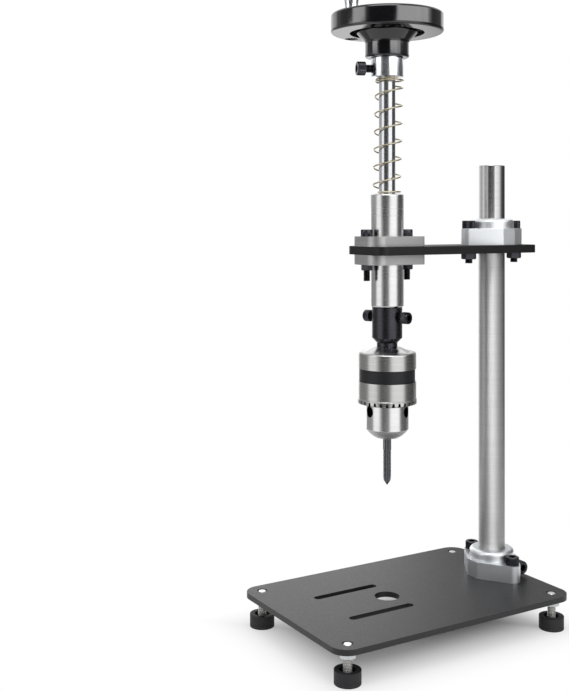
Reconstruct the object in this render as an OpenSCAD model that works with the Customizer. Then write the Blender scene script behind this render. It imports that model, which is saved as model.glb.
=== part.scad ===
// Manual tapping machine: a sprung, hand-turned spindle on an arm that slides and swings on a column.
// Millimetres, +Z up, floor at z = 0, spindle in front (-Y), column behind (+Y).
// The origin lies on the floor below the middle of the machine's outline.

/* [Base plate] */
// Length of the base plate, front to back
plate_l = 204; // [195:1:240]
// Width of the base plate, side to side
plate_w = 133; // [125:1:160]
// Thickness of the base plate
plate_t = 4; // [3:0.5:8]
// Corner radius of the base plate
plate_corner_r = 12; // [4:1:20]
// Diameter of the hole under the tap
tap_hole_d = 18; // [12:1:24]
// Length of each work slot, end to end
slot_l = 54; // [30:1:60]
// Width of each work slot
slot_w = 6; // [5:0.5:9]
// Spacing of the two work slots, side to side
slot_spacing = 45; // [35:1:70]
// Distance of the slots' middle in front of the tap hole
slot_offset = 21; // [10:1:30]

/* [Feet] */
// Distance of a foot's axis from the plate's side edge
foot_inset_x = 10.5; // [9.5:0.5:16]
// Distance of a foot's axis from the plate's front or rear edge
foot_inset_y = 12; // [9.5:0.5:20]
// Diameter of a rubber foot
foot_d = 18; // [16:1:24]
// Height of a rubber foot
foot_h = 9.3; // [8.5:0.1:16]
// Rounding of a rubber foot's rims
foot_edge_r = 1; // [0.3:0.1:1.5]
// Diameter of the recess round the stud
foot_recess_d = 11; // [9:0.5:13]
// Depth of the recess round the stud
foot_recess_h = 3.5; // [1:0.5:4.5]
// Depth to which a stud is moulded into its foot
foot_stud_seat = 4; // [2:0.5:4.5]
// Bare stud between a foot and its lock nut
foot_stud_gap = 7.5; // [3:0.5:12]
// Depth of a stud's end below the top of the plate
foot_stud_drop = 0.2; // [0:0.1:1.5]
// Width of the countersink round a stud's end
foot_sink = 0.75; // [0.3:0.05:1]
// Diameter of the flange on a foot's lock nut
foot_nut_flange_d = 13; // [12:0.5:16]
// Thickness of the flange on a foot's lock nut
foot_nut_flange_t = 1.3; // [0.8:0.1:2]

/* [Column and its clamps] */
// Diameter of the column
column_d = 20; // [18:0.5:24]
// Length of the column
column_l = 315; // [305:1:380]
// Distance of the column's axis from the plate's rear edge
column_inset = 19.5; // [18:0.5:30]
// Width of a clamp across its flats
clamp_w = 39; // [38:0.5:46]
// Length of each flat on a clamp
clamp_flat_w = 11.5; // [8:0.5:16]
// Thickness of a clamp's flange
clamp_flange_t = 12.5; // [11.5:0.5:18]
// Diameter of a clamp's boss
clamp_boss_d = 33.5; // [32:0.5:36]
// Height of a clamp's boss above its flange
clamp_boss_h = 7.5; // [3.5:0.5:10]
// Rounding of the top of a clamp's boss
clamp_boss_edge_r = 2.8; // [0.3:0.1:3]
// Spacing of the two bolts through a clamp
clamp_bolt_spacing = 46; // [46:0.5:52]
// Radius of a clamp's ears
clamp_ear_r = 6; // [5.5:0.25:7]
// Width of the slit in a clamp
clamp_slit_w = 2; // [1:0.25:3]
// Distance of the clamping screw from the column's axis
clamp_screw_offset = 14.7; // [14:0.1:15]
// Width left on each side of the clamp under the clamping screw's head
clamp_screw_grip = 13; // [11:0.5:14]

/* [Arm] */
// Distance of the spindle's axis from the column's axis
throat = 100; // [90:1:120]
// Height of the arm's underside above the base plate
arm_height = 248; // [244:1:262]
// Width of the arm
arm_w = 44; // [42:1:60]
// Thickness of the arm
arm_t = 6; // [4:0.5:8]
// Reach of the arm in front of the spindle's axis
arm_nose = 22; // [20:0.5:30]
// Reach of the arm behind the column's axis
arm_tail = 29; // [29:0.5:36]
// Corner radius of the arm
arm_corner_r = 8; // [3:0.5:12]

/* [Spindle guides] */
// Width of a guide's flange, across the arm
guide_flange_w = 32; // [28:0.5:42]
// Length of a guide's flange, along the arm
guide_flange_l = 45; // [45:0.5:50]
// Thickness of a guide's flange
guide_flange_t = 7.2; // [6:0.1:10]
// Corner radius of a guide's flange, at the arm's free end
guide_tip_r = 10; // [4:0.5:12]
// Corner radius of a guide's flange, towards the column
guide_corner_r = 1.5; // [0.5:0.25:4]
// Outer diameter of a guide's tube
guide_tube_d = 24; // [21:0.5:26]
// Length of a guide's tube beyond its flange
guide_tube_l = 30.8; // [24:0.1:34]
// Rounding of a guide tube's free end
guide_edge_r = 1.5; // [0.5:0.25:2]
// Spacing of the two bolts through the guides
guide_bolt_spacing = 36; // [34:0.5:37]
// Length of the guide bolts' ends below their nuts
guide_bolt_tail = 7.5; // [2:0.5:10]
// Outer diameter of the bushes in the guides
bush_d = 16; // [15:0.5:18]

/* [Shaft and spring] */
// Diameter of the spindle's shaft
shaft_d = 12; // [11:0.5:13]
// Height of the return spring's space, from the guide to the collar
spring_l = 84.5; // [70:0.5:100]
// Outer diameter of the return spring
spring_od = 21; // [18:0.5:22]
// Diameter of the spring's wire
spring_wire_d = 1.2; // [0.8:0.1:1.8]
// Open turns of the spring
spring_turns = 6.2; // [4:0.1:8]
// Closed turns at the spring's top
spring_top_turns = 1.5; // [1:0.25:3]
// Closed turns at the spring's foot
spring_foot_turns = 0.5; // [0.5:0.25:2]
// Angle of the wire's lower end about the spindle
spring_angle = 286; // [0:1:359]
// Gap between the closed turns
spring_closed_gap = 0.5; // [0.45:0.05:1]

/* [Handwheel] */
// Outer diameter of the handwheel
wheel_d = 82; // [78:1:110]
// Height of the handwheel's rim
rim_h = 14; // [11:0.5:18]
// Width of the rim's flat underside
rim_w = 14; // [13:0.5:15]
// Rounding of the rim's outer edges
rim_edge_r = 2; // [0.5:0.25:4]
// Width of the groove between the cone and the rim
rim_groove_w = 5; // [1.5:0.1:5.5]
// Depth of the groove between the cone and the rim
rim_groove_h = 4; // [2:0.5:5]
// Depth of the dish in the wheel's top
dish_h = 6; // [3:0.5:6]
// Width of the dish's sloping side
dish_slope_w = 5; // [2:0.5:7]
// Diameter of the boss in the middle of the dish
dish_boss_d = 28; // [22:0.5:30]
// Depth of the boss below the rim's top
dish_boss_drop = 2; // [0:0.5:2.5]
// Diameter of the wheel's hub
hub_d = 32; // [28:0.5:36]
// Height of the hub's straight part
hub_h = 11.5; // [8:0.5:16]
// Height of the cone between the hub and the rim
cone_h = 6.5; // [4:0.5:10]
// Rounding between the hub and the cone
cone_fillet_r = 3; // [1:0.5:5]
// Rounding of the hub's lower edge
hub_edge_r = 1.5; // [0.3:0.1:2]
// Length of shaft held in the wheel
wheel_grip_l = 22; // [16:0.5:24]
// Diameter of the collar under the wheel
collar_d = 23.5; // [22:0.5:28]
// Height of the collar under the wheel
collar_h = 14; // [12:0.5:18]
// Height of the collar's screw above the collar's foot
collar_screw_z = 6; // [5.5:0.5:6.5]
// Bare shank between the collar and its screw's head
collar_screw_gap = 5; // [1:0.5:8]
// Angle of the collar's screw about the spindle
collar_screw_angle = 250; // [0:5:355]

/* [Crank handle] */
// Angle of the crank handle about the spindle
handle_angle = 195; // [0:5:355]
// Length of the handle's grip
handle_l = 50; // [40:1:65]
// Diameter of the grip at its foot
handle_foot_d = 10.6; // [10.4:0.1:12]
// Diameter of the grip at its widest
handle_d = 16; // [15:0.5:20]
// Rounding of the grip's free end
handle_end_r = 1.6; // [0.5:0.1:1.8]
// Diameter of the stud that the grip turns on
handle_stud_d = 7; // [6:0.25:8]
// Diameter of the stud's head
handle_head_d = 10; // [9:0.25:10.5]
// Height of the stud's head
handle_head_h = 2.5; // [1.5:0.25:4]
// Diameter of the recess for the stud's nut
handle_recess_d = 10; // [9.8:0.2:11]
// Depth of the recess for the stud's nut
handle_recess_h = 5; // [4.5:0.25:6]

/* [Chuck adapter] */
// Diameter of the adapter
adapter_d = 22; // [20:0.5:26]
// Length of the adapter's straight part
adapter_l = 22; // [18:0.5:28]
// Height of the adapter's cone
adapter_cone_h = 3.5; // [2:0.5:6]
// Diameter of the adapter's neck
adapter_neck_d = 15; // [13:0.5:17]
// Length of the adapter's neck
adapter_neck_l = 2.7; // [2:0.1:8]
// Depth of the shaft's socket in the adapter
adapter_socket_l = 18; // [14:0.5:20]
// Diameter of the adapter's threaded end inside the chuck
adapter_thread_d = 10; // [8:0.5:12]
// Length of the adapter's threaded end inside the chuck
adapter_thread_l = 14; // [10:0.5:16]
// Distance of the adapter's screws below its top
adapter_screw_drop = 7; // [5.5:0.5:9]
// Bare shank between the adapter and its screws' heads
adapter_screw_gap = 3; // [1:0.5:6]
// Angle of the adapter's screws about the spindle
adapter_screw_angle = 20; // [0:5:355]

/* [Chuck] */
// Diameter of the chuck's sleeve
sleeve_d = 42; // [41.5:0.25:46]
// Length of the sleeve above its teeth
sleeve_l = 37.1; // [37:0.1:40]
// Rounding of the sleeve's top edge
sleeve_edge_r = 2; // [0.5:0.25:2.5]
// Height of the bevel under the teeth
tooth_h = 1.3; // [0.8:0.1:2]
// Depth of the gaps between the teeth at the sleeve's surface
tooth_depth = 3.4; // [2.5:0.1:3.6]
// Slant of the gaps between the teeth
tooth_slant = 25; // [20:1:30]
// Number of bevel teeth
tooth_count = 30; // [20:1:32]
// Width of the gap between two teeth at its mouth
tooth_gap = 2.8; // [1.6:0.1:3]
// Width of the gap between two teeth at its root
tooth_root = 1.2; // [0.6:0.1:1.5]
// Height of the raised ring that carries the teeth
tooth_ring_h = 3; // [2:0.1:5]
// Step of the raised ring beyond the sleeve's surface
tooth_ring_step = 0.4; // [0.2:0.1:1]
// Distance of the black band below the sleeve's top
band_drop = 12; // [8:0.5:13]
// Height of the black band
band_h = 9.3; // [6:0.1:12]
// Thickness of the black band
band_t = 0.9; // [0.6:0.1:1]
// Depth of the band's face below the sleeve's surface
band_inset = 0.8; // [0.2:0.1:1]
// Diameter of the chuck body inside the sleeve's lip
chuck_body_d = 33; // [32.5:0.25:33.5]
// Diameter of the chuck body's back face
chuck_back_d = 17; // [16.5:0.5:26]
// Height of the cone on the chuck body's back
chuck_back_h = 3.8; // [1.5:0.1:6]
// Height of the sleeve's lip that runs on the body
sleeve_lip_h = 5; // [3:0.5:6]
// Inner diameter of the sleeve round the nut
sleeve_bore_d = 36.4; // [36.2:0.1:36.6]
// Height of the scroll nut
chuck_nut_h = 9; // [7:0.5:9.5]
// Diameter of the chuck's nose
nose_d = 31; // [30.5:0.25:31.5]
// Length of the nose between the teeth and the dome
nose_l = 17.4; // [14:0.2:18]
// Height of the nose's dome
dome_h = 6.4; // [4.5:0.1:7]
// Diameter of the dome's end
dome_end_d = 16; // [15:0.5:18]
// Diameter of the bore for the tool
tool_bore_d = 13.5; // [13:0.5:14]
// Diameter of a key hole in the nose
key_hole_d = 8; // [6:0.25:8]
// Depth of a key hole
key_hole_l = 5.5; // [4:0.5:6]
// Angle of the first key hole about the spindle
key_hole_angle = 28.5; // [0:0.5:359]
// Diameter of a jaw
jaw_d = 7; // [6:0.25:7]
// Length of a jaw
jaw_l = 36; // [32:0.5:38]
// Slant of a jaw from the spindle's axis
jaw_slant = 13; // [12:0.5:13.5]
// Distance of a jaw's tip below the dome
jaw_tip_drop = 0.9; // [0.5:0.1:3.5]
// Depth of metal between a jaw's grip face and its axis at the tip
jaw_tip_depth = 1.4; // [1:0.1:1.6]
// Width of a jaw's grip face
jaw_face_w = 1.6; // [1:0.1:3]
// Largest tool that the jaws open to
jaw_open_d = 13; // [10:0.5:13]

/* [Tap] */
// Diameter of the tap
tap_d = 6; // [4:0.5:8]
// Length of the tap
tap_l = 62; // [58:1:66]
// Length of tap that stands out below the jaws
tap_out = 34; // [26:0.5:40]
// Length of the tap's flutes
tap_flute_l = 33.5; // [14:0.5:33.5]
// Number of the tap's flutes
tap_flutes = 3; // [2:1:4]
// Width of each of the tap's flutes
tap_flute_d = 3.2; // [1.6:0.1:3.6]
// Angle of the tap's first flute about the spindle
tap_angle = 325; // [0:5:355]
// Length of the tap's tapered lead
tap_lead_l = 4; // [2:0.5:8]
// Length of the tap's point
tap_point_l = 3.6; // [1:0.1:5]
// Diameter of the tap's point at its base
tap_tip_d = 5; // [4.2:0.1:5.2]

/* [Hidden] */
$fn = 64;

// Clearances, each measured on one side
run_gap = 0.05;
fixed_gap = 0.02;
bolt_gap = 0.25;
seat_gap = 0.3;
pass_gap = 0.5;
// Overlap that carries a cut through a face
cut = 1;

// Screw sizes as [thread, head diameter, head height, socket, nut width, nut height]
m5 = [5, 8.5, 5, 4, 8, 4];
m6 = [6, 10, 6, 5, 10, 5];
socket_share = 0.55;
clamp_bolt_tail = 3;
screw_end_gap = 0.2;

// Heights above the floor
plate_z = foot_h + foot_stud_gap + m6[5];
plate_top = plate_z + plate_t;
arm_z = plate_top + arm_height;
arm_top = arm_z + arm_t;
guide_top = arm_top + guide_flange_t + guide_tube_l;
guide_foot = arm_z - guide_flange_t - guide_tube_l;
collar_z = guide_top + spring_l;
hub_z = collar_z + collar_h;
rim_z = hub_z + hub_h + cone_h;
wheel_top = rim_z + rim_h;
adapter_top = guide_foot - seat_gap;
neck_top = adapter_top - adapter_l - adapter_cone_h;
chuck_top = neck_top - adapter_neck_l;
sleeve_top = chuck_top - chuck_back_h;
sleeve_foot = sleeve_top - sleeve_l;
tooth_foot = sleeve_foot - tooth_h;
dome_top = tooth_foot - nose_l;
dome_foot = dome_top - dome_h;
jaw_tip_z = dome_foot - jaw_tip_drop;
tap_tip_z = jaw_tip_z - tap_out;
shaft_z = adapter_top - adapter_socket_l;
shaft_l = hub_z + wheel_grip_l - shaft_z;

// Places on the floor plan
rear_overhang = max(0, arm_tail - column_inset);
plate_y = -rear_overhang / 2;
column_y = plate_y + plate_l / 2 - column_inset;
spindle_y = column_y - throat;
slot_y = spindle_y - slot_offset;
arm_l = arm_nose + throat + arm_tail;
arm_y = column_y + arm_tail - arm_l / 2;
foot_x = plate_w / 2 - foot_inset_x;
foot_y = plate_l / 2 - foot_inset_y;
foot_places = [for (y = [-foot_y, foot_y], x = [-foot_x, foot_x]) [x, plate_y + y]];
foot_corners = ["front_left", "front_right", "rear_left", "rear_right"];

// Radii about the spindle
wheel_r = wheel_d / 2;
rim_inner_r = wheel_r - rim_w;
cone_r = rim_inner_r - rim_groove_w;
handle_r = wheel_r - rim_w / 2;
dish_r = rim_inner_r + dish_slope_w / 2;
sleeve_r = sleeve_d / 2;
nose_r = nose_d / 2;
band_r = sleeve_r - band_inset;
tooth_foot_r = nose_r + run_gap + tooth_gap / 2;
jaw_tip_r = tap_d / 2 + run_gap + jaw_tip_depth;
jaw_rise = tan(jaw_slant);
jaw_side = jaw_d / 2 / cos(jaw_slant);
jaw_travel = (jaw_open_d - tap_d) / 2 / sin(jaw_slant);
key_hole_z = tooth_foot - key_hole_d / 2 - seat_gap;
chuck_nut_z = tooth_foot + tooth_depth - seat_gap;
nut_groove_r = jaw_tip_r + (chuck_nut_z - jaw_tip_z) * jaw_rise + jaw_side;
handle_stud_l = handle_l - handle_head_h - seat_gap;

// Radius of a jaw's axis at a height
function jaw_axis_r(z) = jaw_tip_r + (z - jaw_tip_z) * jaw_rise;

// Points of an arc in a profile
function arc(centre, radius, from, to, steps = 6) =
    [for (i = [0:steps]) centre + radius * [cos(from + (to - from) * i / steps),
                                            sin(from + (to - from) * i / steps)]];

// Point where a line from p touches a circle, on the side away from the middle
function touch_point(p, centre, radius) =
    let (
        gap = centre - p,
        reach = norm(gap),
        turn = acos(radius / reach),
        heading = atan2(-gap[1], -gap[0])
    )
    centre + radius * [cos(heading - turn), sin(heading - turn)];

// Shared shapes

module at_spindle() { translate([0, spindle_y, 0]) children(); }

module at_column() { translate([0, column_y, 0]) children(); }

module mirrored(spacing, along) {
    for (side = [-1, 1]) translate(side * spacing / 2 * along) children();
}

module rounded_plate(width, length, thickness, corner_r) {
    translate([-width / 2, -length / 2 + corner_r, 0]) cube([width, length - 2 * corner_r, thickness]);
    translate([-width / 2 + corner_r, -length / 2, 0]) cube([width - 2 * corner_r, length, thickness]);
    for (x = [-1, 1], y = [-1, 1])
        translate([x * (width / 2 - corner_r), y * (length / 2 - corner_r), 0])
            cylinder(r = corner_r, h = thickness);
}

module hex(across_flats, height) {
    cylinder(d = across_flats / cos(30), h = height, $fn = 6);
}

// A nut that stands on z = 0
module hex_nut(screw) {
    difference() {
        hex(screw[4], screw[5]);
        translate([0, 0, -cut]) cylinder(r = screw[0] / 2 + fixed_gap, h = screw[5] + 2 * cut);
    }
}

// A socket cap screw whose head stands on z = 0
module cap_screw(screw, shank_l) {
    socket_h = screw[2] * socket_share;
    translate([0, 0, -shank_l]) cylinder(d = screw[0], h = shank_l);
    difference() {
        cylinder(d = screw[1], h = screw[2]);
        translate([0, 0, screw[2] - socket_h]) hex(screw[3], socket_h + cut);
    }
}

// A cap screw that points at the axis, its head's underside at head_r
module radial_screw(screw, head_r, tip_r) {
    translate([head_r, 0, 0]) rotate([0, 90, 0]) cap_screw(screw, head_r - tip_r);
}

// Base plate and feet

module base_plate() {
    color("#3f4042") difference() {
        translate([0, plate_y, plate_z]) rounded_plate(plate_w, plate_l, plate_t, plate_corner_r);
        for (place = foot_places) translate([place[0], place[1], plate_z]) {
            translate([0, 0, -cut]) cylinder(r = m6[0] / 2 + fixed_gap, h = plate_t + 2 * cut);
            translate([0, 0, plate_t - foot_sink])
                cylinder(r1 = m6[0] / 2 + fixed_gap, r2 = m6[0] / 2 + fixed_gap + foot_sink, h = foot_sink);
        }
        at_spindle() translate([0, 0, plate_z - cut]) cylinder(d = tap_hole_d, h = plate_t + 2 * cut);
        translate([0, slot_y, plate_z - cut]) mirrored(slot_spacing, [1, 0, 0]) work_slot();
        at_column() mirrored(clamp_bolt_spacing, [1, 0, 0])
            translate([0, 0, plate_z - cut]) cylinder(r = m6[0] / 2 + bolt_gap, h = plate_t + 2 * cut);
    }
}

module work_slot() {
    straight_l = slot_l - slot_w;
    translate([-slot_w / 2, -straight_l / 2, 0]) cube([slot_w, straight_l, plate_t + 2 * cut]);
    mirrored(straight_l, [0, 1, 0]) cylinder(d = slot_w, h = plate_t + 2 * cut);
}

module foot_pad(place) {
    stud_z = foot_h - foot_recess_h - foot_stud_seat;
    color("#2e2e31") translate([place[0], place[1], 0]) difference() {
        rotate_extrude() polygon(concat(
            [[0, 0]],
            arc([foot_d / 2 - foot_edge_r, foot_edge_r], foot_edge_r, -90, 0),
            arc([foot_d / 2 - foot_edge_r, foot_h - foot_edge_r], foot_edge_r, 0, 90),
            [[0, foot_h]]
        ));
        translate([0, 0, foot_h - foot_recess_h]) cylinder(d = foot_recess_d, h = foot_recess_h + cut);
        translate([0, 0, stud_z]) cylinder(r = m6[0] / 2 + fixed_gap, h = foot_h);
    }
}

module foot_studs() {
    stud_z = foot_h - foot_recess_h - foot_stud_seat;
    color("#c9c9c4") for (place = foot_places) translate([place[0], place[1], stud_z])
        cylinder(d = m6[0], h = plate_top - foot_stud_drop - stud_z);
}

module foot_lock_nuts() {
    color("#cfcfca") for (place = foot_places)
        translate([place[0], place[1], plate_z - m6[5]]) {
            hex_nut(m6);
            translate([0, 0, m6[5] - foot_nut_flange_t]) difference() {
                cylinder(d = foot_nut_flange_d, h = foot_nut_flange_t);
                translate([0, 0, -cut])
                    cylinder(r = m6[0] / 2 + fixed_gap, h = foot_nut_flange_t + 2 * cut);
            }
        }
}

// Column clamps: bolts along X, slit towards +Y, standing on z = 0

module clamp_outline() {
    ear = [clamp_bolt_spacing / 2, 0];
    shoulder = [clamp_flat_w / 2, clamp_w / 2];
    touch = touch_point(shoulder, ear, clamp_ear_r);
    quarter = [shoulder, touch];
    polygon(concat(
        quarter,
        [for (i = [1:-1:0]) [quarter[i][0], -quarter[i][1]]],
        [for (p = quarter) -p],
        [for (i = [1:-1:0]) [-quarter[i][0], quarter[i][1]]]
    ));
}

module split_clamp() {
    screw_z = clamp_flange_t / 2;
    clamp_h = clamp_flange_t + clamp_boss_h;
    boss_r = clamp_boss_d / 2;
    edge_r = clamp_boss_edge_r;
    color("#c7c9cb") difference() {
        union() {
            linear_extrude(clamp_flange_t) clamp_outline();
            mirrored(clamp_bolt_spacing, [1, 0, 0]) cylinder(r = clamp_ear_r, h = clamp_flange_t);
            rotate_extrude() polygon(concat(
                [[0, 0], [boss_r, 0]],
                arc([boss_r - edge_r, clamp_h - edge_r], edge_r, 0, 90),
                [[0, clamp_h]]
            ));
        }
        translate([0, 0, -cut]) cylinder(r = column_d / 2 + run_gap, h = clamp_h + 2 * cut);
        mirrored(clamp_bolt_spacing, [1, 0, 0])
            translate([0, 0, -cut]) cylinder(r = m6[0] / 2 + bolt_gap, h = clamp_flange_t + 2 * cut);
        translate([-clamp_slit_w / 2, 0, -cut]) cube([clamp_slit_w, clamp_w, clamp_h + 2 * cut]);
        translate([0, clamp_screw_offset, screw_z]) rotate([0, 90, 0]) {
            translate([0, 0, -clamp_bolt_spacing])
                cylinder(r = m6[0] / 2 + fixed_gap, h = 2 * clamp_bolt_spacing);
            for (side = [0, 180]) rotate([side, 0, 0]) translate([0, 0, clamp_screw_grip])
                cylinder(r = m6[1] / 2 + bolt_gap, h = clamp_bolt_spacing);
        }
    }
}

module clamp_bolts(plate_under) {
    grip = clamp_flange_t + plate_under + m6[5] + clamp_bolt_tail;
    color("#26272a") translate([0, 0, clamp_flange_t])
        mirrored(clamp_bolt_spacing, [1, 0, 0]) cap_screw(m6, grip);
}

module clamp_nuts(plate_under) {
    color("#3a3b3e") translate([0, 0, -plate_under - m6[5]])
        mirrored(clamp_bolt_spacing, [1, 0, 0]) hex_nut(m6);
}

module clamp_screw() {
    color("#26272a") translate([0, clamp_screw_offset, clamp_flange_t / 2])
        radial_screw(m6, clamp_screw_grip, -clamp_screw_grip);
}

module at_base_clamp() { translate([0, column_y, plate_top]) children(); }

module at_arm_clamp() { translate([0, column_y, arm_top]) rotate([0, 0, 90]) children(); }

module column() {
    color("#a9abad") at_column() translate([0, 0, plate_top]) cylinder(d = column_d, h = column_l);
}

// Arm and spindle guides

module arm_plate() {
    color("#1d1d1f") difference() {
        translate([0, arm_y, arm_z]) rounded_plate(arm_w, arm_l, arm_t, arm_corner_r);
        translate([0, 0, arm_z - cut]) {
            at_spindle() cylinder(r = bush_d / 2 + pass_gap, h = arm_t + 2 * cut);
            at_spindle() mirrored(guide_bolt_spacing, [0, 1, 0])
                cylinder(r = m5[0] / 2 + bolt_gap, h = arm_t + 2 * cut);
            at_column() cylinder(r = column_d / 2 + pass_gap, h = arm_t + 2 * cut);
            at_column() mirrored(clamp_bolt_spacing, [0, 1, 0])
                cylinder(r = m6[0] / 2 + bolt_gap, h = arm_t + 2 * cut);
        }
    }
}

// A flange on z = 0, well rounded towards the arm's free end
module guide_flange() {
    half_w = guide_flange_w / 2;
    half_l = guide_flange_l / 2;
    tip_y = guide_tip_r - half_l;
    rear_y = half_l - guide_corner_r;
    translate([-half_w, tip_y, 0]) cube([guide_flange_w, rear_y - tip_y, guide_flange_t]);
    translate([guide_tip_r - half_w, -half_l, 0])
        cube([guide_flange_w - 2 * guide_tip_r, half_l, guide_flange_t]);
    translate([guide_corner_r - half_w, 0, 0])
        cube([guide_flange_w - 2 * guide_corner_r, half_l, guide_flange_t]);
    for (side = [-1, 1]) {
        translate([side * (half_w - guide_tip_r), tip_y, 0]) cylinder(r = guide_tip_r, h = guide_flange_t);
        translate([side * (half_w - guide_corner_r), rear_y, 0])
            cylinder(r = guide_corner_r, h = guide_flange_t);
    }
}

// A flanged sleeve that stands on z = 0 with its tube upwards
module guide() {
    guide_h = guide_flange_t + guide_tube_l;
    tube_r = guide_tube_d / 2;
    color("#b4b5b6") difference() {
        union() {
            guide_flange();
            rotate_extrude() polygon(concat(
                [[0, 0], [tube_r, 0]],
                arc([tube_r - guide_edge_r, guide_h - guide_edge_r], guide_edge_r, 0, 90),
                [[0, guide_h]]
            ));
        }
        translate([0, 0, -cut]) cylinder(r = bush_d / 2 + fixed_gap, h = guide_h + 2 * cut);
        mirrored(guide_bolt_spacing, [0, 1, 0])
            translate([0, 0, -cut]) cylinder(r = m5[0] / 2 + bolt_gap, h = guide_flange_t + 2 * cut);
    }
}

module bush() {
    bush_l = guide_flange_t + guide_tube_l;
    color("#b08d57") difference() {
        cylinder(d = bush_d, h = bush_l);
        translate([0, 0, -cut]) cylinder(r = shaft_d / 2 + run_gap, h = bush_l + 2 * cut);
    }
}

module at_upper_guide() { at_spindle() translate([0, 0, arm_top]) children(); }

module at_lower_guide() { at_spindle() translate([0, 0, arm_z]) rotate([0, 180, 0]) children(); }

module guide_bolts() {
    grip = 2 * guide_flange_t + arm_t + m5[5] + guide_bolt_tail;
    color("#202124") at_spindle() translate([0, 0, arm_top + guide_flange_t])
        mirrored(guide_bolt_spacing, [0, 1, 0]) cap_screw(m5, grip);
}

module guide_nuts() {
    color("#333437") at_spindle() translate([0, 0, arm_z - guide_flange_t - m5[5]])
        mirrored(guide_bolt_spacing, [0, 1, 0]) hex_nut(m5);
}

// Return spring: one wire, closed turns at both ends, right-handed

spring_rings = 16;
spring_sides = 6;
spring_r = (spring_od - spring_wire_d) / 2;
spring_low = guide_top + seat_gap + spring_wire_d / 2;
spring_rise = spring_l - 2 * seat_gap - spring_wire_d;
spring_closed_pitch = spring_wire_d + spring_closed_gap;
spring_pitch = (spring_rise - spring_closed_pitch * (spring_foot_turns + spring_top_turns)) / spring_turns;
spring_all_turns = spring_foot_turns + spring_turns + spring_top_turns;
spring_steps = round(spring_all_turns * spring_rings);

function spring_open_turns(turn) = min(max(turn - spring_foot_turns, 0), spring_turns);

function spring_height(turn) =
    spring_low
    + spring_closed_pitch * turn
    + (spring_pitch - spring_closed_pitch) * spring_open_turns(turn);

function spring_point(i) =
    let (turn = spring_all_turns * i / spring_steps, angle = spring_angle + 360 * turn)
    [spring_r * cos(angle), spring_r * sin(angle), spring_height(turn)];

function spring_ring(i) =
    let (
        angle = spring_angle + 360 * spring_all_turns * i / spring_steps,
        out = [cos(angle), sin(angle), 0],
        before = spring_point(max(i - 1, 0)),
        after = spring_point(min(i + 1, spring_steps)),
        along = (after - before) / norm(after - before),
        side = cross(out, along)
    )
    [for (k = [0:spring_sides - 1])
        spring_point(i) + spring_wire_d / 2 * (cos(360 * k / spring_sides) * out
                                               - sin(360 * k / spring_sides) * side / norm(side))];

spring_line = [for (i = [0:spring_steps]) spring_point(i)];
spring_least_gap = min([
    for (i = [0:spring_steps], j = [i + spring_rings / 2:spring_steps])
        norm(spring_line[i] - spring_line[j])
]) - spring_wire_d;
echo(spring_least_gap = spring_least_gap);

module return_spring() {
    rings = [for (i = [0:spring_steps]) each spring_ring(i)];
    last = spring_steps * spring_sides;
    wall = [
        for (i = [0:spring_steps - 1], k = [0:spring_sides - 1])
            let (a = i * spring_sides + k, b = i * spring_sides + (k + 1) % spring_sides)
            each [[a, a + spring_sides, b], [b, a + spring_sides, b + spring_sides]]
    ];
    ends = [for (k = [1:spring_sides - 2]) each [[0, k, k + 1], [last, last + k + 1, last + k]]];
    color("#b9ac86") at_spindle() polyhedron(points = rings, faces = concat(wall, ends), convexity = 10);
}

// Shaft, collar, handwheel and crank handle

module spindle_shaft() {
    color("#c4c6c8") at_spindle() translate([0, 0, shaft_z]) cylinder(d = shaft_d, h = shaft_l);
}

module hub_collar() {
    color("#cdd0d3") at_spindle() translate([0, 0, collar_z]) difference() {
        cylinder(d = collar_d, h = collar_h);
        translate([0, 0, -cut]) cylinder(r = shaft_d / 2 + fixed_gap, h = collar_h + 2 * cut);
        rotate([0, 0, collar_screw_angle]) translate([0, 0, collar_screw_z]) rotate([0, 90, 0])
            cylinder(r = m6[0] / 2 + fixed_gap, h = collar_d);
    }
}

module collar_screw() {
    color("#2b2828") at_spindle() rotate([0, 0, collar_screw_angle])
        translate([0, 0, collar_z + collar_screw_z])
            radial_screw(m6, collar_d / 2 + collar_screw_gap, shaft_d / 2 + screw_end_gap);
}

module handwheel() {
    hub_r = hub_d / 2;
    under = hub_h + cone_h;
    top = under + rim_h;
    boss_r = dish_boss_d / 2;
    slope = atan2(cone_h, cone_r - hub_r);
    fillet_z = hub_h + cone_fillet_r * (tan(slope) * (1 - sin(slope)) - cos(slope));
    color("#17171a") at_spindle() translate([0, 0, hub_z]) difference() {
        rotate_extrude() polygon(concat(
            [[0, 0]],
            arc([hub_r - hub_edge_r, hub_edge_r], hub_edge_r, -90, 0),
            arc([hub_r + cone_fillet_r, fillet_z], cone_fillet_r, 180, 90 + slope),
            [[cone_r, under], [cone_r, under + rim_groove_h], [rim_inner_r, under + rim_groove_h]],
            [[rim_inner_r, under]],
            arc([wheel_r - rim_edge_r, under + rim_edge_r], rim_edge_r, -90, 0),
            arc([wheel_r - rim_edge_r, top - rim_edge_r], rim_edge_r, 0, 90),
            [[dish_r, top], [dish_r - dish_slope_w, top - dish_h], [boss_r, top - dish_h]],
            [[boss_r, top - dish_boss_drop], [0, top - dish_boss_drop]]
        ));
        translate([0, 0, -cut]) cylinder(r = shaft_d / 2 + fixed_gap, h = wheel_grip_l + cut);
        rotate([0, 0, handle_angle]) translate([handle_r, 0, 0]) {
            translate([0, 0, under - cut]) cylinder(r = m5[0] / 2 + bolt_gap, h = rim_h + 2 * cut);
            translate([0, 0, under - cut]) cylinder(d = handle_recess_d, h = handle_recess_h + cut);
        }
    }
}

module at_handle() {
    at_spindle() rotate([0, 0, handle_angle]) translate([handle_r, 0, wheel_top]) children();
}

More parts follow.
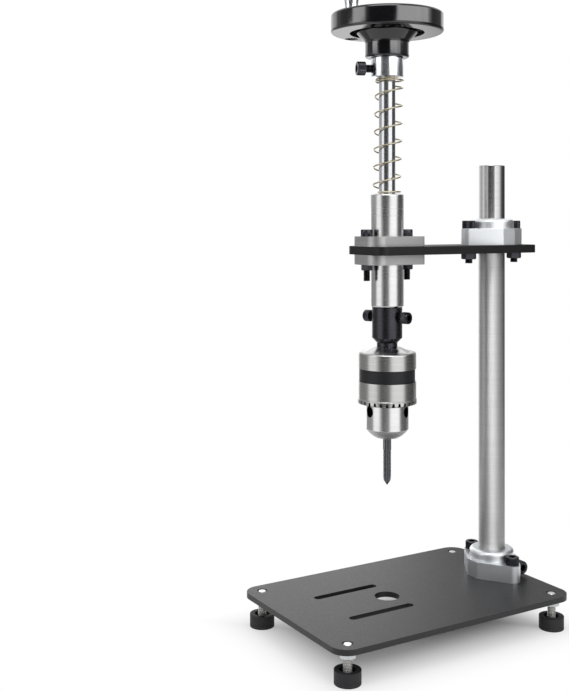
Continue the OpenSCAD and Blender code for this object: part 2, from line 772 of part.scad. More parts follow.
module handle_stud() {
    thread_l = rim_h - handle_recess_h + m5[5];
    color("#b9bbbd") at_handle() {
        translate([0, 0, -thread_l]) cylinder(d = m5[0], h = thread_l);
        cylinder(d = handle_stud_d, h = handle_stud_l);
        translate([0, 0, handle_stud_l]) cylinder(d = handle_head_d, h = handle_head_h);
    }
}

module handle_nut() {
    color("#cfcfca") at_handle() translate([0, 0, handle_recess_h - rim_h - m5[5]]) hex_nut(m5);
}

// A revolving grip that swells from its foot to a wide, rounded end
module handle_grip() {
    foot_r = handle_foot_d / 2;
    swell = handle_d / 2 - foot_r;
    swell_turn = 130;
    steps = 14;
    side_l = handle_l - handle_end_r - seat_gap;
    side = [for (i = [0:steps]) [foot_r + swell * sin(swell_turn * i / steps),
                                 seat_gap + side_l * i / steps]];
    end_r = side[steps][0];
    color("#d5d7d9") at_handle() difference() {
        rotate_extrude() polygon(concat(
            [[0, seat_gap]],
            side,
            arc([end_r - handle_end_r, handle_l - handle_end_r], handle_end_r, 0, 90),
            [[0, handle_l]]
        ));
        cylinder(r = handle_stud_d / 2 + run_gap, h = handle_l + cut);
        translate([0, 0, handle_stud_l - seat_gap])
            cylinder(r = handle_head_d / 2 + seat_gap, h = handle_l);
    }
}

// Chuck adapter

module chuck_adapter() {
    body_r = adapter_d / 2;
    neck_r = adapter_neck_d / 2;
    thread_r = adapter_thread_d / 2;
    color("#1f2023") at_spindle() difference() {
        rotate_extrude() polygon([
            [0, adapter_top], [body_r, adapter_top], [body_r, adapter_top - adapter_l],
            [neck_r, neck_top], [neck_r, chuck_top], [thread_r, chuck_top],
            [thread_r, chuck_top - adapter_thread_l], [0, chuck_top - adapter_thread_l]
        ]);
        translate([0, 0, shaft_z]) cylinder(r = shaft_d / 2 + fixed_gap, h = adapter_socket_l + cut);
        for (side = [0, 180]) rotate([0, 0, adapter_screw_angle + side])
            translate([0, 0, adapter_top - adapter_screw_drop]) rotate([0, 90, 0])
                cylinder(r = m5[0] / 2 + fixed_gap, h = adapter_d);
    }
}

module adapter_screws() {
    color("#26272a") at_spindle() for (side = [0, 180]) rotate([0, 0, adapter_screw_angle + side])
        translate([0, 0, adapter_top - adapter_screw_drop])
            radial_screw(m5, adapter_d / 2 + adapter_screw_gap, shaft_d / 2 + screw_end_gap);
}

// Keyed chuck

module at_key_holes() {
    for (i = [0:2]) rotate([0, 0, key_hole_angle + 120 * i]) children();
}

// The jaws lie midway between the key holes
module at_jaw(i) {
    at_spindle() rotate([0, 0, key_hole_angle + 60 + 120 * i]) children();
}

module jaw_axis_cylinder(radius, from, to) {
    translate([jaw_tip_r, 0, jaw_tip_z]) rotate([0, jaw_slant, 0])
        translate([0, 0, from]) cylinder(r = radius, h = to - from);
}

module chuck_body() {
    back_r = chuck_back_d / 2;
    body_r = chuck_body_d / 2;
    end_r = dome_end_d / 2;
    groove_r = nut_groove_r - seat_gap;
    nut_top = chuck_nut_z + chuck_nut_h + seat_gap;
    nut_low = chuck_nut_z - seat_gap;
    rise = ((pow(nose_r, 2) - pow(end_r, 2)) / dome_h - dome_h) / 2;
    dome_r = norm([nose_r, rise]);
    dome = arc([0, dome_top + rise], dome_r, -atan2(dome_h + rise, end_r), -atan2(rise, nose_r), 8);
    tool_l = tap_l - tap_out + jaw_tip_drop + seat_gap;
    color("#b0b1b2") difference() {
        at_spindle() rotate_extrude() polygon(concat(
            [[0, dome_foot]],
            dome,
            [[nose_r, nut_low], [groove_r, nut_low], [groove_r, nut_top], [body_r, nut_top]],
            [[body_r, sleeve_top], [back_r, chuck_top], [0, chuck_top]]
        ));
        at_spindle() translate([0, 0, dome_foot - cut]) cylinder(d = tool_bore_d, h = tool_l + cut);
        at_spindle() translate([0, 0, chuck_top - adapter_thread_l - seat_gap])
            cylinder(r = adapter_thread_d / 2 + fixed_gap, h = adapter_thread_l + seat_gap + cut);
        for (i = [0:2]) at_jaw(i)
            jaw_axis_cylinder(jaw_d / 2 + run_gap, -jaw_d, jaw_l + jaw_travel + seat_gap);
        at_spindle() at_key_holes() translate([nose_r - key_hole_l, 0, key_hole_z]) rotate([0, 90, 0])
            cylinder(d = key_hole_d, h = key_hole_l + cut);
    }
}

module chuck_sleeve() {
    lip_r = chuck_body_d / 2 + run_gap;
    bore_r = sleeve_bore_d / 2;
    ring_r = nose_r + run_gap;
    lip_low = sleeve_top - sleeve_lip_h;
    groove_r = band_r - band_t;
    band_top = sleeve_top - band_drop;
    band_low = band_top - band_h;
    step_r = sleeve_r + tooth_ring_step;
    ring_top = sleeve_foot + tooth_ring_h;
    gap_l = 2 * (step_r - ring_r);
    color("#b3b4b5") at_spindle() difference() {
        rotate_extrude() polygon(concat(
            [[ring_r, tooth_foot], [tooth_foot_r, tooth_foot], [step_r, sleeve_foot]],
            [[step_r, ring_top], [sleeve_r, ring_top + tooth_ring_step]],
            [[sleeve_r, band_low], [groove_r, band_low], [groove_r, band_top], [sleeve_r, band_top]],
            arc([sleeve_r - sleeve_edge_r, sleeve_top - sleeve_edge_r], sleeve_edge_r, 0, 90),
            [[lip_r, sleeve_top], [lip_r, lip_low], [bore_r, lip_low]],
            [[bore_r, chuck_nut_z], [ring_r, chuck_nut_z]]
        ));
        for (i = [0:tooth_count - 1]) rotate([0, 0, 360 * i / tooth_count])
            translate([step_r, 0, tooth_foot]) rotate([0, -tooth_slant, 0]) rotate([90, 0, 90])
                linear_extrude(gap_l, center = true) polygon([
                    [-tooth_gap / 2, -tooth_depth], [tooth_gap / 2, -tooth_depth], [tooth_gap / 2, 0],
                    [tooth_root / 2, tooth_depth], [-tooth_root / 2, tooth_depth], [-tooth_gap / 2, 0]
                ]);
    }
}

module chuck_band() {
    inner_r = band_r - band_t + fixed_gap;
    band_z = sleeve_top - band_drop - band_h;
    color("#222326") at_spindle() difference() {
        translate([0, 0, band_z]) cylinder(r = band_r, h = band_h);
        translate([0, 0, band_z - cut]) cylinder(r = inner_r, h = band_h + 2 * cut);
    }
}

module chuck_nut() {
    outer_r = sleeve_bore_d / 2 - fixed_gap;
    top = chuck_nut_z + chuck_nut_h;
    low_r = jaw_axis_r(chuck_nut_z) + jaw_side + seat_gap;
    high_r = jaw_axis_r(top) + jaw_side + seat_gap;
    color("#8d8f91") at_spindle() rotate_extrude()
        polygon([[low_r, chuck_nut_z], [outer_r, chuck_nut_z], [outer_r, top], [high_r, top]]);
}

// A slanted pin with a grip face along the spindle, a coned tip and a back that clears the sleeve when open
module chuck_jaw(i) {
    grip_r = tap_d / 2 + run_gap;
    half_w = jaw_d;
    flank = (half_w - jaw_face_w / 2) / tan(60);
    jaw_top = jaw_tip_z + jaw_l;
    open_shift = (jaw_open_d - tap_d) / 2;
    back_r = sleeve_bore_d / 2 - seat_gap;
    tip_cone = jaw_tip_drop + jaw_d / 2;
    color("#77797c") at_jaw(i) intersection() {
        jaw_axis_cylinder(jaw_d / 2, -jaw_d, jaw_l);
        translate([0, 0, jaw_tip_z]) linear_extrude(jaw_l) polygon([
            [grip_r, -jaw_face_w / 2], [grip_r + flank, -half_w], [sleeve_d, -half_w],
            [sleeve_d, half_w], [grip_r + flank, half_w], [grip_r, jaw_face_w / 2]
        ]);
        rotate_extrude() polygon([
            [0, jaw_tip_z], [jaw_tip_r, jaw_tip_z], [jaw_tip_r + 2 * tip_cone, jaw_tip_z + tip_cone],
            [sleeve_d, jaw_tip_z + tip_cone], [sleeve_d, jaw_top], [0, jaw_top]
        ]);
        translate([-open_shift, 0, jaw_tip_z]) cylinder(r = back_r, h = jaw_l);
    }
}

module tap() {
    tip_r = tap_tip_d / 2;
    tap_r = tap_d / 2;
    color("#5f6163") at_spindle() difference() {
        rotate_extrude() polygon([
            [0, tap_tip_z], [tip_r, tap_tip_z + tap_point_l], [tap_r, tap_tip_z + tap_point_l + tap_lead_l],
            [tap_r, tap_tip_z + tap_l], [0, tap_tip_z + tap_l]
        ]);
        for (i = [0:tap_flutes - 1]) rotate([0, 0, tap_angle + 360 * i / tap_flutes])
            translate([tap_r, 0, tap_tip_z - cut]) cylinder(d = tap_flute_d, h = tap_flute_l + cut);
    }
}

base_plate();
for (i = [0:3]) foot_pad(foot_places[i]);
foot_studs();
foot_lock_nuts();
at_base_clamp() split_clamp();  // base_clamp
at_base_clamp() clamp_bolts(plate_t);  // base_clamp_bolts
at_base_clamp() clamp_nuts(plate_t);  // base_clamp_nuts
at_base_clamp() clamp_screw();  // base_clamp_screw
column();
arm_plate();
at_arm_clamp() split_clamp();  // arm_clamp
at_arm_clamp() clamp_bolts(arm_t);  // arm_clamp_bolts
at_arm_clamp() clamp_nuts(arm_t);  // arm_clamp_nuts
at_arm_clamp() clamp_screw();  // arm_clamp_screw
at_upper_guide() guide();  // upper_guide
at_lower_guide() guide();  // lower_guide
at_upper_guide() bush();  // upper_bush
at_lower_guide() bush();  // lower_bush
guide_bolts();
guide_nuts();
return_spring();
spindle_shaft();
hub_collar();
collar_screw();
handwheel();
handle_stud();
handle_nut();
handle_grip();
chuck_adapter();
adapter_screws();
chuck_body();
chuck_sleeve();
chuck_band();
chuck_nut();
for (i = [0:2]) chuck_jaw(i);
tap();
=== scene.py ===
"""Looks for the manual tapping machine: finishes, fuller pieces, light and camera on its frame."""
import functools
import logging
import math
from contextlib import contextmanager
from dataclasses import dataclass, replace
from enum import Enum
from typing import Any, Iterable, Iterator, Mapping, Optional, Sequence, Union

import bmesh
import bpy
from mathutils import Matrix, Vector


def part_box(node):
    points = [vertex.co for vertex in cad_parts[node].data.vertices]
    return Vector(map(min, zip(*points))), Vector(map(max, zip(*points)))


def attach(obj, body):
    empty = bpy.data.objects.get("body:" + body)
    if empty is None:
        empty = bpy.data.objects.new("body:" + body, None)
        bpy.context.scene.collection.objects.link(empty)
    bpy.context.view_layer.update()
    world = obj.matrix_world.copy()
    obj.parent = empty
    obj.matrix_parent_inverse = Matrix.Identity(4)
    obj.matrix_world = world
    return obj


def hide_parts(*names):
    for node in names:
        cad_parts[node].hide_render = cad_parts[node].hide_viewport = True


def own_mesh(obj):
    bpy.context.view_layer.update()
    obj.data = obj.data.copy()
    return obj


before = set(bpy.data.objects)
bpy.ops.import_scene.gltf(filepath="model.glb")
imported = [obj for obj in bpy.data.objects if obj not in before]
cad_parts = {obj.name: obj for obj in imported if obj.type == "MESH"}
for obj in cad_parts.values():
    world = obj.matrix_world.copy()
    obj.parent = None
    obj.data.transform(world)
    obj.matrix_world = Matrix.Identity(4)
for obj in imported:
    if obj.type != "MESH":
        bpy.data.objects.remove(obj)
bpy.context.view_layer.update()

LOG = logging.getLogger("tapping_machine")
MM = 0.001
# The picture is 569 pixels wide and this high, and the sensor's width lies along its longer side
IMAGE_H_PX = 691
FULL_TURN = 2 * math.pi
ORIGIN = (0.0, 0.0)
UP = Vector((0.0, 0.0, 1.0))
WHITE = "#ffffff"
# Points nearer than this are one point
MERGE_M = 1e-6
# Faces that meet at less than these angles are shaded as one, and taken as one flat face
SMOOTH_ANGLE = math.radians(32)
WIRE_SMOOTH_ANGLE = math.radians(60)
FLAT_ANGLE = math.radians(0.2)
# A face whose normal rises this far looks up
LOOKS_UP = 0.9
# Room round a piece that is pressed in or that passes through a hole
PRESS_FIT = 0.02 * MM
HOLE_FIT = 0.25 * MM
# The spindle's shaft, and how far the tip of a screw stays off it
SHAFT_D = 12 * MM
TIP_GAP = 0.2 * MM
# The flanges of the spindle's guides
GUIDE_FLANGE_T = 7.2 * MM
# A metric thread's depth and the flats on its crest and root, as shares of the pitch
THREAD_DEPTH = 0.54
THREAD_FLAT = 1 / 8
THREAD_STEPS = 24
ARC_STEPS = 8
# The names of the pieces' own attributes
GROOVE = "groove"
TONE = "tone"

Point = tuple[float, float]
Tones = tuple[tuple[float, float, float], ...]
Piece = bpy.types.Object
Tree = bpy.types.NodeTree
Socket = bpy.types.NodeSocket


def linear(code: str) -> tuple[float, float, float, float]:
    """Turn an sRGB hex colour into linear light.

    Args:
        code: The colour as six hex digits after a hash.

    Returns:
        Red, green, blue and an alpha of one.
    """
    parts = [int(code[i:i + 2], 16) / 255 for i in (1, 3, 5)]
    light = [p / 12.92 if p <= 0.04045 else ((p + 0.055) / 1.055) ** 2.4 for p in parts]
    return (light[0], light[1], light[2], 1.0)


def add_node(tree: Tree, kind: str, inputs: Optional[Mapping[Any, Any]] = None,
             **settings: Any) -> bpy.types.Node:
    """Add one node with its settings, values and links.

    Args:
        tree: The node tree that takes the node.
        kind: The node's type name.
        inputs: Socket names or numbers, each with a value or with the output that feeds it.
        **settings: The node's own attributes.

    Returns:
        The new node.
    """
    node = tree.nodes.new(kind)
    for name, value in settings.items():
        setattr(node, name, value)
    for key, value in (inputs or {}).items():
        if isinstance(value, Socket):
            tree.links.new(value, node.inputs[key])
        else:
            node.inputs[key].default_value = value
    return node


def empty_tree(owner: Union[bpy.types.Material, bpy.types.World]) -> Tree:
    """Give a new material or world an empty node tree.

    Args:
        owner: The material or world.

    Returns:
        Its node tree.
    """
    owner.use_nodes = True
    owner.node_tree.nodes.clear()
    return owner.node_tree


# Finishes

# The values that a noise mostly lies between, and its octaves
NOISE_LOW, NOISE_HIGH, NOISE_DETAIL = 0.3, 0.7, 2.0
# The quarter turn that draws highlights out along the axis, not round it
ALONG_AXIS = 0.25


@dataclass(frozen=True)
class Finish:
    """A real material and the way that its surface was made.

    The pattern is a noise whose grain is grain_mm across, and stretch times that round the
    upright axis, so a long grain makes rings. It shifts the colour towards shade, moves the
    roughness by spread and lifts the surface by bump_mm. Clouds of cloud_mm have the share cloud
    in the shift of the colour. The highlights are drawn out along the axis by the share
    drawn_out. The piece's own groove attribute, where it has one, says how deep each point lies
    in a thread, and the depths take the colour groove, a painted shade in the roots.
    """

    name: str
    slot: str
    colour: str
    shade: str
    roughness: float
    spread: float
    grain_mm: float
    bump_mm: float
    cloud_mm: float
    cloud: float
    stretch: float = 1.0
    metallic: float = 0.0
    ior: float = 1.5
    drawn_out: float = 0.0
    # The colour of the painted shade in a thread's depths
    groove: Optional[str] = None

    def grain_scale(self) -> tuple[float, float, float]:
        """Noise cells per metre along X, Y and Z."""
        fine = 1 / (self.grain_mm * MM)
        return (fine / self.stretch, fine / self.stretch, fine)

    def roughness_socket(self, tree: Tree, place: Socket, grain: Socket) -> Socket:
        """Spread the roughness with the grain.

        Args:
            tree: The material's node tree.
            place: The object coordinates, which this method does not use.
            grain: The grain's strength.

        Returns:
            The output that carries the roughness.
        """
        spread = add_node(tree, "ShaderNodeMapRange", {
            "Value": grain, "From Min": NOISE_LOW, "From Max": NOISE_HIGH,
            "To Min": self.roughness - self.spread, "To Max": self.roughness + self.spread,
        })
        return spread.outputs["Result"]

    def tint_socket(self, tree: Tree, place: Socket, share: Socket) -> Socket:
        """Mix the two colours, and the third, a painted shade, in the depths of a thread.

        Args:
            tree: The material's node tree.
            place: The object coordinates, which this method does not use.
            share: The share of the second colour.

        Returns:
            The output that carries the colour.
        """
        tint = add_node(tree, "ShaderNodeMix", {
            0: share, 6: linear(self.colour), 7: linear(self.shade),
        }, data_type="RGBA")
        # Painted shade: the depths of a thread take a darker colour
        if self.groove:
            depth = add_node(tree, "ShaderNodeAttribute", attribute_name=GROOVE).outputs["Fac"]
            tint = add_node(tree, "ShaderNodeMix", {
                0: depth, 6: tint.outputs[2], 7: linear(self.groove),
            }, data_type="RGBA")
        return tint.outputs[2]


@functools.cache
def finish_material(finish: Finish) -> bpy.types.Material:
    """Build a finish's material, once.

    Args:
        finish: The finish to build.

    Returns:
        A material that reads object coordinates.
    """
    made = bpy.data.materials.new(finish.name)
    tree = empty_tree(made)
    place = add_node(tree, "ShaderNodeTexCoord").outputs["Object"]
    grain_place = add_node(tree, "ShaderNodeMapping", {
        "Vector": place, "Scale": finish.grain_scale(),
    })
    grain = add_node(tree, "ShaderNodeTexNoise", {
        "Vector": grain_place.outputs["Vector"], "Scale": 1.0, "Detail": NOISE_DETAIL,
    }).outputs["Fac"]
    cloud = add_node(tree, "ShaderNodeTexNoise", {
        "Vector": place, "Scale": 1 / (finish.cloud_mm * MM), "Detail": NOISE_DETAIL,
    }).outputs["Fac"]
    both = add_node(tree, "ShaderNodeMix", {0: finish.cloud, 2: grain, 3: cloud})
    lift = add_node(tree, "ShaderNodeBump", {"Height": grain, "Distance": finish.bump_mm * MM})
    shader = add_node(tree, "ShaderNodeBsdfPrincipled", {
        "Base Color": finish.tint_socket(tree, place, both.outputs[0]),
        "Roughness": finish.roughness_socket(tree, place, grain),
        "Normal": lift.outputs["Normal"],
        "Metallic": finish.metallic,
        "IOR": finish.ior,
        "Anisotropic": finish.drawn_out,
        "Anisotropic Rotation": ALONG_AXIS,
    })
    add_node(tree, "ShaderNodeOutputMaterial", {"Surface": shader.outputs["BSDF"]})
    return made


@dataclass(frozen=True)
class WorkedEnd(Finish):
    """A finish whose one end is worked to another roughness.

    The end starts at from_mm and is full from to_mm on, up or down. Its colours are multiplied
    by the end's painted shade, which dims its reflection. The heights given here lie under the
    floor, where nothing is worked.
    """

    from_mm: float = 0.0
    to_mm: float = -1.0
    end_roughness: float = 0.13
    # A painted shade that dims the worked end's reflection
    end_painted_shade: Optional[str] = None

    def end_share(self, tree: Tree, place: Socket) -> Socket:
        """Measure how far a point lies in the worked end.

        Args:
            tree: The material's node tree.
            place: The object coordinates.

        Returns:
            The output that rises from zero to one.
        """
        height = add_node(tree, "ShaderNodeSeparateXYZ", {"Vector": place}).outputs["Z"]
        share = add_node(tree, "ShaderNodeMapRange", {
            "Value": height, "From Min": self.from_mm * MM, "From Max": self.to_mm * MM,
        })
        return share.outputs["Result"]

    def roughness_socket(self, tree: Tree, place: Socket, grain: Socket) -> Socket:
        """Fade the roughness to the worked end's along the height.

        Args:
            tree: The material's node tree.
            place: The object coordinates.
            grain: The grain's strength.

        Returns:
            The output that carries the roughness.
        """
        fade = add_node(tree, "ShaderNodeMix", {
            0: self.end_share(tree, place), 2: super().roughness_socket(tree, place, grain),
            3: self.end_roughness,
        })
        return fade.outputs[0]

    def tint_socket(self, tree: Tree, place: Socket, share: Socket) -> Socket:
        """Paint shade on the worked end, where it has some.

        Args:
            tree: The material's node tree.
            place: The object coordinates.
            share: The share of the second colour.

        Returns:
            The output that carries the colour.
        """
        whole = super().tint_socket(tree, place, share)
        if self.end_painted_shade is None:
            return whole
        # Painted shade multiplied onto the worked end
        tint = add_node(tree, "ShaderNodeMix", {
            0: self.end_share(tree, place), 6: whole, 7: linear(self.end_painted_shade),
        }, data_type="RGBA", blend_type="MULTIPLY")
        return tint.outputs[2]


@dataclass(frozen=True)
class ShadedHollows(WorkedEnd):
    """A finish about the spindle with dark painted shade between two heights.

    The painted shade lies in the hollows, inside hollow_r_mm, and all round above ring_mm.
    """

    hollow_r_mm: float = 15.0
    blend_mm: float = 0.4
    low_mm: float = 0.0
    high_mm: float = 500.0
    ring_mm: float = 500.0
    # The colour of the painted shade in the hollows
    hollow_shade: str = "#121214"

    def tint_socket(self, tree: Tree, place: Socket, share: Socket) -> Socket:
        """Paint dark shade into the hollows.

        Args:
            tree: The material's node tree.
            place: The object coordinates.
            share: The share of the second colour.

        Returns:
            The output that carries the colour.
        """
        clean = super().tint_socket(tree, place, share)
        height = add_node(tree, "ShaderNodeSeparateXYZ", {"Vector": place}).outputs["Z"]
        flat = add_node(tree, "ShaderNodeVectorMath", {
            0: place, 1: (1.0, 1.0, 0.0), 2: (-SPINDLE[0], -SPINDLE[1], 0.0),
        }, operation="MULTIPLY_ADD")
        reach = add_node(tree, "ShaderNodeVectorMath", {0: flat.outputs["Vector"]},
                         operation="LENGTH")
        # Painted shade: dark inside hollow_r_mm and all round above ring_mm, only between low_mm
        # and high_mm
        in_shade = add_node(tree, "ShaderNodeMapRange", {
            "Value": reach.outputs["Value"], "From Min": self.hollow_r_mm * MM,
            "From Max": (self.hollow_r_mm - self.blend_mm) * MM,
        }).outputs["Result"]
        for limit, side, joined in (
            (self.ring_mm, "GREATER_THAN", "MAXIMUM"),
            (self.low_mm, "GREATER_THAN", "MULTIPLY"),
            (self.high_mm, "LESS_THAN", "MULTIPLY"),
        ):
            beyond = add_node(tree, "ShaderNodeMath", {0: height, 1: limit * MM}, operation=side)
            in_shade = add_node(tree, "ShaderNodeMath", {0: in_shade, 1: beyond.outputs[0]},
                              operation=joined).outputs[0]
        tint = add_node(tree, "ShaderNodeMix", {0: in_shade, 6: clean, 7: linear(self.hollow_shade)},
                        data_type="RGBA")
        return tint.outputs[2]


class End(Enum):
    """An end of an upright piece, as the corner of its box that has this end's height."""

    LOWER = 0
    UPPER = 1


def end_z(node: str, end: End) -> float:
    """The height of a CAD node's end."""
    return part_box(node)[end.value].z


def axis_of(node: str) -> Point:
    """The middle of a CAD node on the floor plan."""
    low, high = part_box(node)
    return ((low.x + high.x) / 2, (low.y + high.y) / 2)


def radius_of(node: str) -> float:
    """Half the width of a CAD node along X."""
    low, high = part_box(node)
    return (high.x - low.x) / 2


def flange_span(node: str, end: End, blend: float = 0.1 * MM) -> dict[str, float]:
    """Find where a guide's turned barrel goes over into its milled flange.

    Args:
        node: The guide's CAD node.
        end: The end with the flange.
        blend: How far the one goes over into the other, to each side.

    Returns:
        The heights, as a worked end takes them.
    """
    face = end_z(node, end)
    inward = 1 if end is End.LOWER else -1
    return {"from_mm": (face + inward * (GUIDE_FLANGE_T + blend)) / MM,
            "to_mm": (face + inward * (GUIDE_FLANGE_T - blend)) / MM}


SPINDLE = axis_of("spindle_shaft")
COLUMN = axis_of("column")

# The real grain of these surfaces is 0.05 to 0.3 mm across, which is too fine for the picture.
# It is drawn as coarse as grain_mm says, so that it shows. The orange peel has its real size.

# Baked polyester powder on steel: a dark grey that mirrors the room softly at a flat angle, with
# a fine orange peel
POWDER_COAT = Finish("powder_coated_steel", "powder_coat", "#1b1b1d", "#161618", 0.42, 0.05,
                     grain_mm=0.9, bump_mm=0.012, cloud_mm=90, cloud=0.5, ior=1.45)
# Matt black lacquer on flat steel: nearly black, with a dull shine along the edges
ARM_LACQUER = Finish("matt_lacquered_steel", "arm_paint", "#0d0d0e", "#09090a", 0.5, 0.06,
                     grain_mm=0.7, bump_mm=0.015, cloud_mm=70, cloud=0.4, ior=1.35)
# Moulded nitrile rubber: charcoal, no clear reflection, a faint speckle from the mould
FOOT_RUBBER = Finish("moulded_nitrile_rubber", "foot_rubber", "#151518", "#0f0f12", 0.65, 0.08,
                     grain_mm=0.8, bump_mm=0.03, cloud_mm=12, cloud=0.4)
# Bright zinc electroplate on steel: a pale, slightly cool metal with a cloudy shine
ZINC_PLATE = Finish("zinc_plated_steel", "zinc_plate", "#d4d6d6", "#a8aaac", 0.24, 0.06,
                    grain_mm=0.6, bump_mm=0.002, cloud_mm=5, cloud=0.6, metallic=1.0)
# Zinc under a milky passivate film: part metal and part chalk, with painted shade in the threads
STUD_ZINC = replace(ZINC_PLATE, name="passivated_zinc_steel", colour="#f6f6f4", shade="#d8d8d6",
                    roughness=0.26, metallic=0.6, groove="#7c7a76")
# Bead-blasted die-cast aluminium: pale, soft silver whose highlights spread wide
CLAMP_ALUMINIUM = Finish("blasted_cast_aluminium", "clamp_aluminium", "#eaecee", "#d0d3d6",
                         0.42, 0.06, grain_mm=0.7, bump_mm=0.008, cloud_mm=25, cloud=0.5,
                         metallic=1.0)
# Black oxide on alloy steel: a thin blue-black skin that still mirrors light dimly, with painted
# shade in its threads
BLACK_OXIDE = Finish("black_oxide_steel", "black_oxide", "#47474c", "#29292d", 0.3, 0.06,
                     grain_mm=0.6, bump_mm=0.003, cloud_mm=12, cloud=0.5, stretch=4,
                     metallic=1.0, groove="#141416")
# Centreless-ground steel bar: rings from grinding draw the highlights out along the bar, and its
# polished upper end mirrors the studio in stripes
COLUMN_STEEL = WorkedEnd("ground_column_steel", "ground_steel", "#d8d8d8", "#bebebe", 0.5, 0.03,
                         grain_mm=0.6, bump_mm=0.0002, cloud_mm=40, cloud=0.3, stretch=300,
                         metallic=1.0, drawn_out=0.9, from_mm=296.0, to_mm=301.0,
                         end_roughness=0.09)
# Hard, polished shafting: mirrors the studio in sharp bright and dark stripes
SHAFT_STEEL = Finish("polished_shaft_steel", "ground_steel", "#cfd0d2", "#b0b2b4", 0.16, 0.03,
                     grain_mm=1.0, bump_mm=0.0008, cloud_mm=40, cloud=0.3, stretch=30,
                     metallic=1.0)
# Mild steel off the lathe: satin, with feed marks that ring the piece. The real marks are 0.1 mm
# apart and are drawn 0.8 mm apart, so that they show. The flange is milled, and so duller, and
# its colour carries a painted shade that dims its reflection
UPPER_GUIDE_STEEL = WorkedEnd("turned_upper_guide_steel", "turned_steel", "#dadada", "#9e9e9e",
                              0.24, 0.05, grain_mm=0.8, bump_mm=0.0003, cloud_mm=30, cloud=0.3,
                              stretch=400, metallic=1.0, **flange_span("upper_guide", End.LOWER),
                              end_roughness=0.46, end_painted_shade="#d6d6d6")
# The lower guide is the same, with its flange at the top
LOWER_GUIDE_STEEL = replace(UPPER_GUIDE_STEEL, name="turned_lower_guide_steel",
                            **flange_span("lower_guide", End.UPPER))
# The chuck's core is the same steel in a finer cut, its marks drawn 0.5 mm apart, with painted
# shade in its key holes and all round above 164.9 mm, and a nose left rough
CORE_STEEL = ShadedHollows("lathe_turned_core_steel", "turned_steel", "#d2d2d2", "#afafaf",
                           0.22, 0.03, grain_mm=0.5, bump_mm=0.0002, cloud_mm=30, cloud=0.3,
                           stretch=400, metallic=1.0, hollow_r_mm=15.3, low_mm=149.0,
                           high_mm=170.0, ring_mm=164.9, from_mm=148.2, to_mm=147.4,
                           end_roughness=0.55)
# The chuck's sleeve is cut as finely, with painted shade between its teeth
SLEEVE_STEEL = ShadedHollows("lathe_turned_sleeve_steel", "turned_steel", "#b6b6b5", "#969695",
                             0.25, 0.03, grain_mm=0.5, bump_mm=0.0002, cloud_mm=30, cloud=0.3,
                             stretch=400, metallic=1.0, hollow_r_mm=21.2, low_mm=150.0,
                             high_mm=168.6)
# Sintered bronze: warm brown-gold and dull, as seen down the guides
BUSH_BRONZE = Finish("sintered_bronze", "bush_bronze", "#b08a55", "#8a6a3f", 0.45, 0.06,
                     grain_mm=0.6, bump_mm=0.01, cloud_mm=15, cloud=0.4, metallic=1.0)
# Zinc and yellow chromate on drawn spring wire: pale straw with brown patches and a clear shine
SPRING_WIRE = Finish("passivated_spring_wire", "spring_wire", "#ccc3ac", "#5c5342", 0.13, 0.04,
                     grain_mm=0.8, bump_mm=0.002, cloud_mm=14, cloud=0.6, metallic=1.0)
# Bright nickel and chrome over turned steel: pale and cool, mirroring with a soft edge
BRIGHT_PLATE = Finish("chrome_plated_steel", "bright_plate", "#dcdfe2", "#c2c6cb", 0.2, 0.02,
                      grain_mm=1.2, bump_mm=0.0006, cloud_mm=30, cloud=0.3, stretch=30,
                      metallic=1.0)
# Moulded phenolic resin, polished: deep black under a clear, glassy reflection
WHEEL_RESIN = Finish("moulded_phenolic_resin", "wheel_plastic", "#06060a", "#050508", 0.1, 0.02,
                     grain_mm=1.4, bump_mm=0.003, cloud_mm=35, cloud=0.5, ior=1.6)
# Black-dyed nylon ring: satin black, faintly grained
BAND_NYLON = Finish("dyed_nylon_ring", "band_black", "#08090d", "#060709", 0.5, 0.05,
                    grain_mm=0.7, bump_mm=0.004, cloud_mm=10, cloud=0.4, stretch=8, ior=1.4)
# Hardened high-speed steel, steam-tempered: dark grey with a fine satin grind, with painted shade
# in its thread and flutes
TOOL_STEEL = Finish("tempered_tool_steel", "tool_steel", "#86888c", "#5a5c60", 0.34, 0.06,
                    grain_mm=0.6, bump_mm=0.003, cloud_mm=8, cloud=0.5, stretch=8,
                    metallic=1.0, groove="#55575b")


def dress_node(name: str, finish: Finish) -> None:
    """Give a CAD node that stays in view its finish.

    Args:
        name: The node's name.
        finish: Its finish.
    """
    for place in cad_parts[name].material_slots:
        place.material = finish_material(finish)
    LOG.info("node %s is %s", name, finish.name)


def fit(piece: Piece, finish: Finish, body: str, node: str) -> Piece:
    """Dress a new piece and let it ride on a body in place of its CAD node.

    Args:
        piece: The modelled piece.
        finish: Its finish.
        body: The body that carries it.
        node: The CAD node that it stands for.

    Returns:
        The same piece.
    """
    piece.data.materials.clear()
    piece.data.materials.append(finish_material(finish))
    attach(piece, body)
    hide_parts(node)
    LOG.info("piece %s rides on %s with %d faces", piece.name, body, len(piece.data.polygons))
    return piece


# Hand modelling


class Leaves(Enum):
    """What a cutting shape leaves of a piece."""

    OUTSIDE = "DIFFERENCE"
    INSIDE = "INTERSECT"


def deselect_all() -> None:
    """Leave edit mode and drop the whole selection."""
    if bpy.context.mode != "OBJECT":
        bpy.ops.object.mode_set(mode="OBJECT")
    bpy.ops.object.select_all(action="DESELECT")


def take(piece: Piece) -> None:
    """Make a piece the only selected and active one.

    Args:
        piece: The piece to take.
    """
    deselect_all()
    piece.select_set(True)
    bpy.context.view_layer.objects.active = piece


